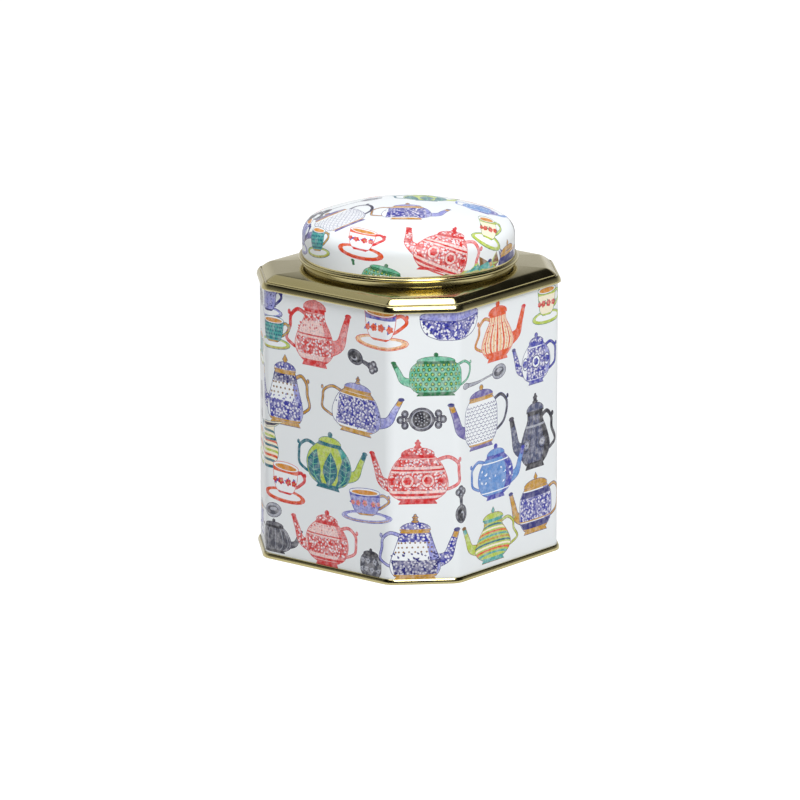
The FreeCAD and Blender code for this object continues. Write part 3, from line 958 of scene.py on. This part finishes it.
def inner_side(section, thickness):
    """The other skin of a sheet, a thickness in from its outer skin, in reverse."""
    spots = cut_through(section)
    skin = []
    for index, (outset, radius, blend, height) in enumerate(section):
        run = spots[min(index + 1, len(spots) - 1)] - spots[max(index - 1, 0)]
        step = Vector((-run.y, run.x)).normalized() * thickness
        skin.append((outset + step.x, max(radius + step.x, 0) if radius else 0, blend,
                     height + step.y))
    return skin[::-1]


# Finishes.  The print is litho ink under a gloss varnish; each ink is washed unevenly.

def group(name, inputs, outputs):
    tree = bpy.data.node_groups.new(name, "ShaderNodeTree")
    for label, kind, value in inputs:
        socket = tree.interface.new_socket(label, in_out="INPUT", socket_type=kind)
        if value is not None:
            socket.default_value = value
    for label, kind in outputs:
        tree.interface.new_socket(label, in_out="OUTPUT", socket_type=kind)
    return tree, tree.nodes.new("NodeGroupInput"), tree.nodes.new("NodeGroupOutput")


def node(tree, kind, inputs=None, **settings):
    """Adds a node; an input is a value or another node's output socket."""
    made = tree.nodes.new(kind)
    for key, value in settings.items():
        setattr(made, key, value)
    for key, value in (inputs or {}).items():
        if isinstance(value, bpy.types.NodeSocket):
            tree.links.new(value, made.inputs[key])
        else:
            made.inputs[key].default_value = value
    return made


def patches(tree, scale, detail=3.0, roughness=0.55, stretch=(1, 1, 1)):
    """Noise that stays with the piece."""
    place = node(tree, "ShaderNodeTexCoord")
    moved = node(tree, "ShaderNodeMapping", {"Vector": place.outputs["Object"], "Scale": stretch})
    return node(tree, "ShaderNodeTexNoise", {"Vector": moved.outputs["Vector"], "Scale": scale,
                                             "Detail": detail, "Roughness": roughness})


def between(tree, value, low, high, to_low, to_high):
    return node(tree, "ShaderNodeMapRange", {"Value": value, "From Min": low, "From Max": high,
                                             "To Min": to_low, "To Max": to_high})


wash, wash_in, wash_out = group(
    "uneven_wash", [("Ink", "NodeSocketColor", None), ("Strength", "NodeSocketFloat", 0.4),
                    ("Fade", "NodeSocketColor", (1, 1, 1, 1)),
                    ("Pool", "NodeSocketColor", (0.5, 0.45, 0.6, 1))],
    [("Color", "NodeSocketColor")])
broad = patches(wash, 420, 2.0)
fine = patches(wash, 1300, 2.0)
warp = patches(wash, 800, 1.0)
wash_place = node(wash, "ShaderNodeTexCoord")
bent = node(wash, "ShaderNodeVectorMath", {0: warp.outputs["Color"], 1: (0.0009, 0.0009, 0.0009),
                                           2: wash_place.outputs["Object"]},
            operation="MULTIPLY_ADD")
cells = node(wash, "ShaderNodeTexVoronoi", {"Vector": bent.outputs["Vector"], "Scale": 900.0})
petals = between(wash, cells.outputs["Distance"], 0.34, 0.52, 0.85, 0.0)
transfer = between(wash, wash_in.outputs["Strength"], 0.6, 1.0, 0.0, 1.0)
soft = between(wash, wash_in.outputs["Strength"], 0.0, 0.6, 0.0, 1.0)
clouds = between(wash, broad.outputs["Fac"], 0.42, 0.66, 0.0, 0.34)
petal_share = node(wash, "ShaderNodeMath", {0: petals.outputs["Result"],
                                            1: transfer.outputs["Result"]}, operation="MULTIPLY")
cloud_share = node(wash, "ShaderNodeMath", {0: clouds.outputs["Result"],
                                            1: soft.outputs["Result"]}, operation="MULTIPLY")
fade_share = node(wash, "ShaderNodeMath", {0: petal_share.outputs[0], 1: cloud_share.outputs[0]},
                  operation="MAXIMUM")
pooled = between(wash, fine.outputs["Fac"], 0.45, 0.7, 0.0, 0.9)
pool_share = node(wash, "ShaderNodeMath", {0: pooled.outputs["Result"],
                                           1: soft.outputs["Result"]}, operation="MULTIPLY")
lighter = node(wash, "ShaderNodeMix", {"Factor": fade_share.outputs[0],
                                       "A": wash_in.outputs["Ink"],
                                       "B": wash_in.outputs["Fade"]}, data_type="RGBA")
darker = node(wash, "ShaderNodeMix", {"Factor": pool_share.outputs[0]}, data_type="RGBA",
              blend_type="MULTIPLY")
wash.links.new(lighter.outputs["Result"], darker.inputs["A"])
wash.links.new(wash_in.outputs["Pool"], darker.inputs["B"])
wash.links.new(darker.outputs["Result"], wash_out.inputs["Color"])

grain, grain_in, grain_out = group(
    "sheet_grain", [("Fine", "NodeSocketFloat", 1.0), ("Wave", "NodeSocketFloat", 1.0)],
    [("Height", "NodeSocketFloat"), ("Mask", "NodeSocketFloat")])
rolled = patches(grain, 2600, 2.0, stretch=(1, 1, 0.22))
waves = patches(grain, 34, 1.0)
fine_height = node(grain, "ShaderNodeMath", {0: rolled.outputs["Fac"], 1: grain_in.outputs["Fine"]},
                   operation="MULTIPLY")
wave_height = node(grain, "ShaderNodeMath", {0: waves.outputs["Fac"], 1: grain_in.outputs["Wave"]},
                   operation="MULTIPLY")
total_height = node(grain, "ShaderNodeMath", {0: fine_height.outputs[0],
                                              1: wave_height.outputs[0]}, operation="ADD")
smudges = patches(grain, 70, 4.0, 0.65)
grain.links.new(total_height.outputs[0], grain_out.inputs["Height"])
grain.links.new(smudges.outputs["Fac"], grain_out.inputs["Mask"])


def tin_material(name, metallic, coat, coat_roughness, low_gloss, high_gloss, fine_bump, wave_bump,
                 bump_depth):
    """A material with sheet grain in its bump and smudges in its gloss."""
    material = bpy.data.materials.new(name)
    material.use_nodes = True
    tree = material.node_tree
    shader = tree.nodes["Principled BSDF"]
    shader.inputs["Metallic"].default_value = metallic
    shader.inputs["Coat Weight"].default_value = coat
    shader.inputs["Coat Roughness"].default_value = coat_roughness
    texture = node(tree, "ShaderNodeGroup", node_tree=grain)
    texture.inputs["Fine"].default_value = fine_bump
    texture.inputs["Wave"].default_value = wave_bump
    gloss = between(tree, texture.outputs["Mask"], 0.35, 0.65, low_gloss, high_gloss)
    tree.links.new(gloss.outputs["Result"], shader.inputs["Roughness"])
    bump = node(tree, "ShaderNodeBump", {"Height": texture.outputs["Height"],
                                         "Distance": bump_depth * MM, "Strength": 1.0})
    tree.links.new(bump.outputs["Normal"], shader.inputs["Normal"])
    return material, tree, shader, texture


printed_tin, tree, shader, texture = tin_material(
    "printed_tin", 0.0, 0.25, 0.12, 0.28, 0.4, 0.25, 3.0, 0.02)
shader.inputs["Specular IOR Level"].default_value = 0.25
ink = node(tree, "ShaderNodeAttribute", attribute_name="ink")
washed = node(tree, "ShaderNodeGroup", node_tree=wash)
tree.links.new(ink.outputs["Color"], washed.inputs["Ink"])
tree.links.new(ink.outputs["Alpha"], washed.inputs["Strength"])
tree.links.new(washed.outputs["Color"], shader.inputs["Base Color"])

bright_tin, tree, shader, texture = tin_material(
    "bright_tin", 1.0, 0.0, 0.1, 0.24, 0.42, 1.0, 2.0, 0.012)
tone = node(tree, "ShaderNodeMix", {"Factor": texture.outputs["Mask"], "A": (0.52, 0.53, 0.55, 1),
                                    "B": (0.68, 0.69, 0.7, 1)}, data_type="RGBA")
tree.links.new(tone.outputs["Result"], shader.inputs["Base Color"])

# The blank's skins: the printed outside, the hooked ends, and the bright inside.

PRINT_FOOT, PRINT_HEAD = 1.7, 109.0     # the artwork stops inside the seams
PRINT_LOW, PRINT_HIGH = 1.4, 109.3
SEAM_MARGIN = 2.4                       # bare ground beside the lock seam
RIB = LOCK_WIDTH / 2                    # the lock seam's folded strip stands inside the wall
RIB_DEPTH = 0.6
LOCK_GROOVE = 0.14                      # depth of the line where the edges of the blank meet
GROOVE_FLOOR, GROOVE_SIDE = 0.1, 0.18   # half widths of the line
GROOVE_FOOT, GROOVE_HEAD = 4.0, 107.0
rib_edges = [GROOVE_SIDE, RIB - 0.25, RIB, RIB + 0.2]
wall_alongs = sorted(set(stations(8, 6) + rib_edges + [GIRTH - edge for edge in rib_edges]))
flat_u = [along / GIRTH for along in wall_alongs] + [1.0]
foot, head = WALL_FOOT, WALL_HEAD
wall_section = [(0, 0, 0, PRINT_HIGH), (0, 0, 0, head - 1.25), (0.1, 0, 0, head - 1.08),
                (0.2, 0, 0, head - 1.04), (0.3, 0, 0, head - 1.1), (0.34, 0, 0, head - 1.3),
                (0.34, 0, 0, head - 2.1), (0.54, 0, 0, head - 2.1), (0.54, 0, 0, head - 1.4),
                (0.44, 0, 0, head - 1.06), (0.28, 0, 0, head - 0.84), (0.1, 0, 0, head - 0.74),
                (-0.16, 0, 0, head - 0.8), (-0.3, 0, 0, head - 1.05), (-0.3, 0, 0, head - 1.6),
                (-0.3, 0, 0, 60), (-0.3, 0, 0, foot + 2.8), (-0.3, 0, 0, foot + 0.4),
                (-0.16, 0, 0, foot + 0.1), (0.1, 0, 0, foot), (0.4, 0, 0, foot),
                (0.56, 0, 0, foot + 0.12), (0.62, 0, 0, foot + 0.4), (0.62, 0, 0, foot + 1.0),
                (0.4, 0, 0, foot + 1.0), (0.4, 0, 0, foot + 0.5), (0.3, 0, 0, foot + 0.34),
                (0.1, 0, 0, foot + 0.34), (0, 0, 0, foot + 0.6), (0, 0, 0, PRINT_LOW)]
wall = Pressing("wall_printed", [printed_tin, bright_tin])
lengths = run_of(wall_section)
back_share = lengths[-2] / (lengths[-2] + PRINT_HIGH - PRINT_LOW)
flat_v = [length / lengths[-2] * back_share for length in lengths]


def wall_ring(outset, radius, blend, height):
    """A ring of the wall; the strip of the lock seam is thicker on the inside."""
    ring = ring_at(wall_alongs, outset, radius, blend, height)
    if outset < -0.2 and foot + 2 < height < head - 1.5:
        for index, along in enumerate(wall_alongs):
            if min(along, GIRTH - along) < RIB + 0.01:
                place, normal = plan_point(along)
                place -= normal * (SHEET + RIB_DEPTH)
                ring[index] = Vector((place.x, place.y, height))
    return ring


wall.sweep([wall_ring(*ring) for ring in wall_section], flat_u, flat_v, 1)

# The wares on one half of the blank: name, place along from the middle of the left-hand wide
# face, height of the foot, turn and size.
wall_plate = Plate(40)
LEFT_FACE = GIRTH * 3 / 8
REACH_OF_A_WARE = 30
HALF_ROWS = [
    ("bluebell_cup", -30, 97, 0, 0.9), ("rose_pot", -6, 81, 0, 0.95),
    ("lagoon_cup", -27, 85, 0, 0.95), ("harvest_cup", 26.5, 93, 0, 0.95),
    ("willow_bowl", 56, 97, 0, 0.98),
    ("sunset_coffee_pot", 81.5, 84, 0, 0.93), ("berry_cup", 112, 93, 0, 0.92),
    ("tea_scoop", 18, 87, 162, 0.95), ("tall_coffee_pot", -21, 55, 0, 0.95),
    ("garden_pot", 14.5, 57.5, -3, 0.9), ("ringed_pot", 49, 75, 0, 0.86),
    ("dessert_spoon", 74, 78.5, 7, 0.88), ("moon_pot", 105.5, 70, 0, 0.94),
    ("strainer", 43.5, 61, 0, 0.9), ("scale_pot", 71.5, 51, 0, 0.92),
    ("ribbon_jug", -31, 37, 0, 0.95),
    ("pewter_urn", 105, 36, 0, 0.93), ("leaf_pot", 0.5, 33, -3, 0.94), ("berry_pot", 42, 32, 0, 0.9),
    ("sky_pot", 80.5, 29, 0, 0.93), ("fire_cup", -21.5, 24, -3, 0.93), ("dusk_cup", 20, 23, 5, 0.88),
    ("tea_scoop", 59.5, 31, -88, 0.92), ("crown_pot", 105.5, 10, 0, 0.93),
    ("ribbed_pot", -27, 3, 0, 0.88), ("blush_pot", 0, 2, 0, 0.88), ("night_canister", 22, 1, 0, 0.9),
    ("starry_coffee_pot", 41, 1.5, 0, 0.93), ("fair_pot", 79, 4, 0, 0.95),
    ("dessert_spoon", -36, 19, 6, 0.9), ("strainer", 131, 98, 0, 0.72),
    ("lagoon_cup", 131, 75, 0, 0.95), ("tea_scoop", 131, 60, 95, 0.95),
    ("berry_cup", 131, 35, 0, 0.92),
    ("bluebell_cup", 130, 6, 0, 0.85),
]
for half in (-GIRTH / 2, 0, GIRTH / 2):
    for name, across, up, turn, size in HALF_ROWS:
        place = LEFT_FACE + across + half
        if -REACH_OF_A_WARE < place < GIRTH + REACH_OF_A_WARE:
            wall_plate.stamp(name, place, up, turn, size)
kept_shapes = []
for outline, ink_name in wall_plate.shapes:
    for axis, limit, above in ((0, SEAM_MARGIN, True), (0, GIRTH - SEAM_MARGIN, False),
                               (1, PRINT_FOOT, True), (1, PRINT_HEAD, False)):
        outline = clipped(outline, axis, limit, above) if outline else outline
    if len(outline) > 2 and abs(signed_area(outline)) > 0.01:
        kept_shapes.append((outline, ink_name))
wall_plate.shapes = kept_shapes

foot_edge = [Vector((along, PRINT_LOW)) for along in wall_alongs + [GIRTH]]
head_edge = [Vector((along, PRINT_HIGH)) for along in wall_alongs + [GIRTH]][::-1]
upright_lines = []
for start, _, _, folds in SEGMENTS:
    if folds:
        for step in range(9):
            upright_lines.append(start + FOLD_RADIUS * math.radians(45) * step / 8)
upright_lines += [GROOVE_SIDE, GIRTH - GROOVE_SIDE]
fold_lines = [[Vector((along, PRINT_LOW)), Vector((along, PRINT_HIGH))] for along in upright_lines]
for height in (GROOVE_FOOT - 0.1, GROOVE_FOOT + 0.2, GROOVE_HEAD - 0.2, GROOVE_HEAD + 0.1):
    fold_lines.append([Vector((0, height)), Vector((GROOVE_SIDE, height))])
    fold_lines.append([Vector((GIRTH - GROOVE_SIDE, height)), Vector((GIRTH, height))])


def lay_on_wall(spot):
    """On the wall's outside, with a fine groove where the edges of the blank are locked."""
    along = spot.x if spot.x < GIRTH - 1e-7 else 0.0
    place, normal = plan_point(along)
    if min(along, GIRTH - along) < GROOVE_FLOOR and GROOVE_FOOT < spot.y < GROOVE_HEAD:
        place -= normal * LOCK_GROOVE
    up = (spot.y - PRINT_LOW) / (PRINT_HIGH - PRINT_LOW)
    smooth_normal = Vector((normal.x, normal.y, 0)) if 0.2 < along < GIRTH - 0.2 else None
    return (Vector((place.x, place.y, spot.y)), smooth_normal,
            (spot.x / GIRTH, back_share + up * (1 - back_share)))


wall.press(wall_plate, foot_edge + head_edge, fold_lines, lay_on_wall)
wall.finish("caddy", "wall", "printed_tin")

# ------------------------------------------------------------------ base
# The end panel of plain gold-lacquered tinplate, seamed on to the foot of the wall.  The can
# stands on the seam's bead, and the panel sits up inside it.

gold_tin, tree, shader, texture = tin_material(
    "gold_tin", 1.0, 0.15, 0.1, 0.12, 0.19, 0.1, 3.0, 0.009)
lacquer = node(tree, "ShaderNodeMix", {"Factor": texture.outputs["Mask"],
                                       "A": (0.53, 0.46, 0.21, 1),
                                       "B": (0.6, 0.53, 0.27, 1)}, data_type="RGBA")
edges = node(tree, "ShaderNodeNewGeometry")
rubbed = between(tree, edges.outputs["Pointiness"], 0.53, 0.62, 0.0, 0.7)
worn = node(tree, "ShaderNodeMix", {"Factor": rubbed.outputs["Result"],
                                    "A": lacquer.outputs["Result"],
                                    "B": (0.82, 0.76, 0.58, 1)}, data_type="RGBA")
tree.links.new(worn.outputs["Result"], shader.inputs["Base Color"])

gold_alongs = stations(12, 10)
gold_u = [along / GIRTH for along in gold_alongs] + [1.0]
BASE_SEAM = 2.2
PANEL = 2.6
base_outer = [(-1.1, 0, 1, PANEL), (-1.1, 0, 0.75, PANEL), (-1.1, 0, 0.5, PANEL),
              (-1.1, 0, 0.25, PANEL), (-1.1, 0, 0.06, PANEL), (-1.0, 0, 0, PANEL),
              (-0.78, 0, 0, PANEL - 0.1), (-0.65, 0, 0, PANEL - 0.4), (-0.65, 0, 0, 0.5),
              (-0.5, 0, 0, 0.16), (-0.1, 0, 0, 0.0), (0.5, 0, 0, 0.0), (0.86, 0, 0, 0.08),
              (1.01, 0, 0, 0.26), (1.05, 0, 0, 0.55), (1.04, 0, 0, 0.85), (0.99, 0, 0, 1.15),
              (0.9, 0, 0, 1.45), (0.77, 0, 0, 1.74), (0.6, 0, 0, 1.98), (0.4, 0, 0, 2.15),
              (0.2, 0, 0, BASE_SEAM), (0.08, 0, 0, 2.12), (0.05, 0, 0, 1.9), (0.05, 0, 0, 0.95)]
base_section = base_outer + inner_side(base_outer, SHEET)
base = Pressing("base_gold", [gold_tin])
lengths = run_of(base_section)
base.sweep([ring_at(gold_alongs, *ring) for ring in base_section], gold_u,
           [length / lengths[-1] for length in lengths], 0, closes=True)
base.finish("caddy", "base_end", "gold_tin")

# ------------------------------------------------------------------ shoulder
# One gold-lacquered pressing: seamed to the head of the wall, a narrow groove, a steep rounded
# edge with mitred corners, a nearly flat shelf, and a round neck with a curled mouth.

shoulder_low, shoulder_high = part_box("shoulder")
SEAM_FOOT, MOUTH_TOP = shoulder_low.z / MM, shoulder_high.z / MM
SEAM_TOP = SEAM_FOOT + 3.3
NECK = 40.9
NECK_FOOT = SEAM_TOP + 2.8
CURL = 0.8
seam_outer = [(0.1, 0, 0, SEAM_FOOT + 1.5), (0.1, 0, 0, SEAM_FOOT + 0.3),
              (0.22, 0, 0, SEAM_FOOT + 0.08), (0.5, 0, 0, SEAM_FOOT), (0.85, 0, 0, SEAM_FOOT),
              (1.1, 0, 0, SEAM_FOOT + 0.04), (1.19, 0, 0, SEAM_FOOT + 0.18),
              (1.17, 0, 0, SEAM_FOOT + 0.42), (1.11, 0, 0, SEAM_FOOT + 0.8),
              (1.02, 0, 0, SEAM_FOOT + 1.2), (0.9, 0, 0, SEAM_FOOT + 1.54),
              (0.76, 0, 0, SEAM_FOOT + 1.84), (0.6, 0, 0, SEAM_FOOT + 2.12),
              (0.42, 0, 0, SEAM_FOOT + 2.38), (0.22, 0, 0, SEAM_FOOT + 2.58),
              (0.0, 0, 0, SEAM_TOP - 0.65), (-0.2, 0, 0, SEAM_TOP - 0.76),
              (-0.4, 0, 0, SEAM_TOP - 0.94), (-0.66, 0, 0, SEAM_TOP - 0.94),
              (-0.78, 0, 0, SEAM_TOP - 0.88), (-0.82, 0, 0, SEAM_TOP - 0.76),
              (-0.84, 0, 0, SEAM_TOP - 0.2)]
edge_outer = [(-0.95 - 4.05 * step / 10, 0, 0,
               SEAM_TOP - 0.1 + 2.12 * math.sin(math.radians(8 * step)) / math.sin(math.radians(80)))
              for step in range(11)]
shelf_outer = [(-5.0, NECK + 0.35, step / 8,
                SEAM_TOP + 2.02 + 0.74 * step / 8) for step in range(1, 9)]
neck_outer = [(-5, NECK + 0.05, 1, NECK_FOOT + 0.01), (-5, NECK, 1, NECK_FOOT + 0.06),
              (-5, NECK, 1, NECK_FOOT + 5), (-5, NECK, 1, MOUTH_TOP - CURL)]
mouth_outer = [(-5, NECK - CURL + CURL * math.cos(math.radians(angle)), 1,
                MOUTH_TOP - CURL + CURL * math.sin(math.radians(angle)))
               for angle in range(20, 281, 20)]
sheet_outer = seam_outer + edge_outer + shelf_outer + neck_outer[:-1]
inner = inner_side(sheet_outer, SHEET)
shoulder_section = (sheet_outer + neck_outer[-1:] + mouth_outer
                    + [(-5, NECK - SHEET, 1, MOUTH_TOP - 2.1 * CURL)] + inner)
shoulder = Pressing("shoulder_gold", [gold_tin, bright_tin])
lengths = run_of(shoulder_section)
turned_in = len(sheet_outer) + 1 + len(mouth_outer)
finishes = [0 if index < turned_in else 1 for index in range(len(shoulder_section))]
shoulder.sweep([ring_at(gold_alongs, *ring) for ring in shoulder_section], gold_u,
               [length / lengths[-1] for length in lengths], finishes, closes=True)
shoulder.finish("caddy", "shoulder", "gold_tin")

# ------------------------------------------------------------------ lid
# A slip lid of tinplate, printed flat and then drawn to a low crown and a straight skirt.  Its
# raw edge is curled into a gold rim, which hangs just above the shoulder.

lid_low, lid_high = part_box("lid")
RIM_FOOT, CROWN_TOP = lid_low.z / MM, lid_high.z / MM
SKIRT = 41.5
RIM_CURL = 0.85
CROWN_RADIUS = 103.7
LID_CORNER = 6.2
corner_r = SKIRT - LID_CORNER
crown_angle = math.asin(corner_r / (CROWN_RADIUS - LID_CORNER))
corner_z = CROWN_TOP - CROWN_RADIUS + (CROWN_RADIUS - LID_CORNER) * math.cos(crown_angle)
CROWN_RUN = CROWN_RADIUS * crown_angle
CORNER_RUN = LID_CORNER * (math.pi / 2 - crown_angle)
PRINT_EDGE = 118.3
LID_RUN = CROWN_RUN + CORNER_RUN + corner_z - PRINT_EDGE


def lid_profile(run):
    """Radius, height and slope of the lid's outside at a length from its middle."""
    if run <= CROWN_RUN:
        angle = run / CROWN_RADIUS
        return (CROWN_RADIUS * math.sin(angle),
                CROWN_TOP - CROWN_RADIUS * (1 - math.cos(angle)), angle)
    if run <= CROWN_RUN + CORNER_RUN:
        angle = crown_angle + (run - CROWN_RUN) / LID_CORNER
        return corner_r + LID_CORNER * math.sin(angle), corner_z + LID_CORNER * math.cos(angle), angle
    return SKIRT, corner_z - (run - CROWN_RUN - CORNER_RUN), math.pi / 2


ROUND_STEPS = 120
turns = [2 * math.pi * step / ROUND_STEPS for step in range(ROUND_STEPS)]
runs = ([CROWN_RUN * step / 7 for step in range(1, 8)]
        + [CROWN_RUN + CORNER_RUN * step / 8 for step in range(1, 9)])


def flat_ring(run):
    return [Vector((run * math.cos(turn), run * math.sin(turn))) for turn in turns]


def round_ring(radius, height):
    return [Vector((radius * math.cos(turn), radius * math.sin(turn), height)) for turn in turns]


DISC = 0.33                             # the lid's print on the unrolled sheet, beside its back
DISC_MIDDLE = (0.34, 0.66)


def lay_on_lid(spot):
    run = min(spot.length, LID_RUN)
    across = spot.normalized() if run > 1e-6 else Vector((1, 0))
    radius, height, slope = lid_profile(run)
    flat = (DISC_MIDDLE[0] + DISC * spot.x / LID_RUN, DISC_MIDDLE[1] + DISC * spot.y / LID_RUN)
    return (Vector((across.x * radius, across.y * radius, height)),
            Vector((across.x * math.sin(slope), across.y * math.sin(slope), math.cos(slope))), flat)


# Places on the lid are right of its middle and towards the front edge, as the can is displayed.
display = math.radians(view_azimuth)
to_right = Vector((math.cos(display), math.sin(display)))
to_front = Vector((math.sin(display), -math.cos(display)))


def on_crown(across, up):
    return to_right * across - to_front * up


def on_skirt(across, up):
    """Across is round the skirt from the front; up is from the print's lower edge."""
    run = LID_RUN - up
    turn = across / max(lid_profile(run)[0], 8)
    return (to_right * math.sin(turn) + to_front * math.cos(turn)) * run


lid_plate = Plate(41)
for name, across, up, turn, size in (
        ("dessert_spoon", -23, 8, 14, 0.9), ("lagoon_cup", 8, 21, 0, 1.0),
        ("leaf_pot", 7, 2, 4, 0.72), ("sky_pot", 28, -2, -4, 0.62), ("rose_pot", -14, 20, 10, 0.6),
        ("garden_pot", -1, -21, -2, 0.72), ("scale_pot", -23, -21, 24, 0.86),
        ("harvest_cup", 24, 17, -20, 0.8), ("tea_scoop", -34, 2, 70, 0.8)):
    lid_plate.stamp(name, across, up, turn, size, bend=on_crown)
for name, across, up, turn, size in (
        ("lagoon_cup", -42, 3, 8, 0.9), ("fire_cup", -20, 6, -6, 0.9),
        ("ringed_pot", -12, -9, -14, 0.72), ("berry_pot", 9.5, 0, -24, 0.86),
        ("berry_cup", 33, 9, -30, 0.95), ("fair_pot", 30, -17, 0, 0.8),
        ("crown_pot", 50, -12, 4, 0.8), ("bluebell_cup", -60, 1, 0, 1.0),
        ("blush_pot", -82, -1, 6, 0.8), ("night_canister", 66, 0, 0, 1.0),
        ("starry_coffee_pot", 88, -6, 0, 0.8), ("sunset_coffee_pot", 114, -4, 0, 0.8),
        ("dusk_cup", -108, 2, 0, 0.9), ("tea_scoop", -66, 14, 20, 0.8)):
    lid_plate.stamp(name, across, up, turn, size, bend=on_skirt)
limit = LID_RUN - 0.02
for outline, _ in lid_plate.shapes:
    for point in outline:
        if point.length > limit:
            point *= limit / point.length

lid = Pressing("lid_printed", [printed_tin, gold_tin, bright_tin])
lid_lines = [flat_ring(run) + flat_ring(run)[:1] for run in runs]
lid.press(lid_plate, flat_ring(LID_RUN), lid_lines, lay_on_lid)

rim_z = RIM_FOOT + RIM_CURL
rim_r = SKIRT - SHEET + RIM_CURL
inside = []
for run in [0.0] + runs:
    radius, height, slope = lid_profile(run)
    inside.append((max(radius - SHEET * math.sin(slope), 0), height - SHEET * math.cos(slope)))
bead = [(rim_r + RIM_CURL * math.cos(math.radians(angle)),
         rim_z + RIM_CURL * math.sin(math.radians(angle))) for angle in range(180, 461, 14)]
rim_section = inside + [(SKIRT - SHEET, rim_z + 4)] + bead + [
    (SKIRT + 0.06, rim_z + 0.62), (SKIRT, rim_z + 0.8), (SKIRT, PRINT_EDGE)]
lengths = [0.0]
for (ra, za), (rb, zb) in zip(rim_section, rim_section[1:]):
    lengths.append(lengths[-1] + math.hypot(rb - ra, zb - za))
lid.sweep([round_ring(*ring) for ring in rim_section],
          [turn / (2 * math.pi) for turn in turns] + [1.0],
          [0.3 * length / lengths[-1] for length in lengths + lengths[-1:]],
          [2] * len(inside) + [1] * (len(rim_section) - len(inside)))
lid.finish("lid", "lid", "printed_tin")
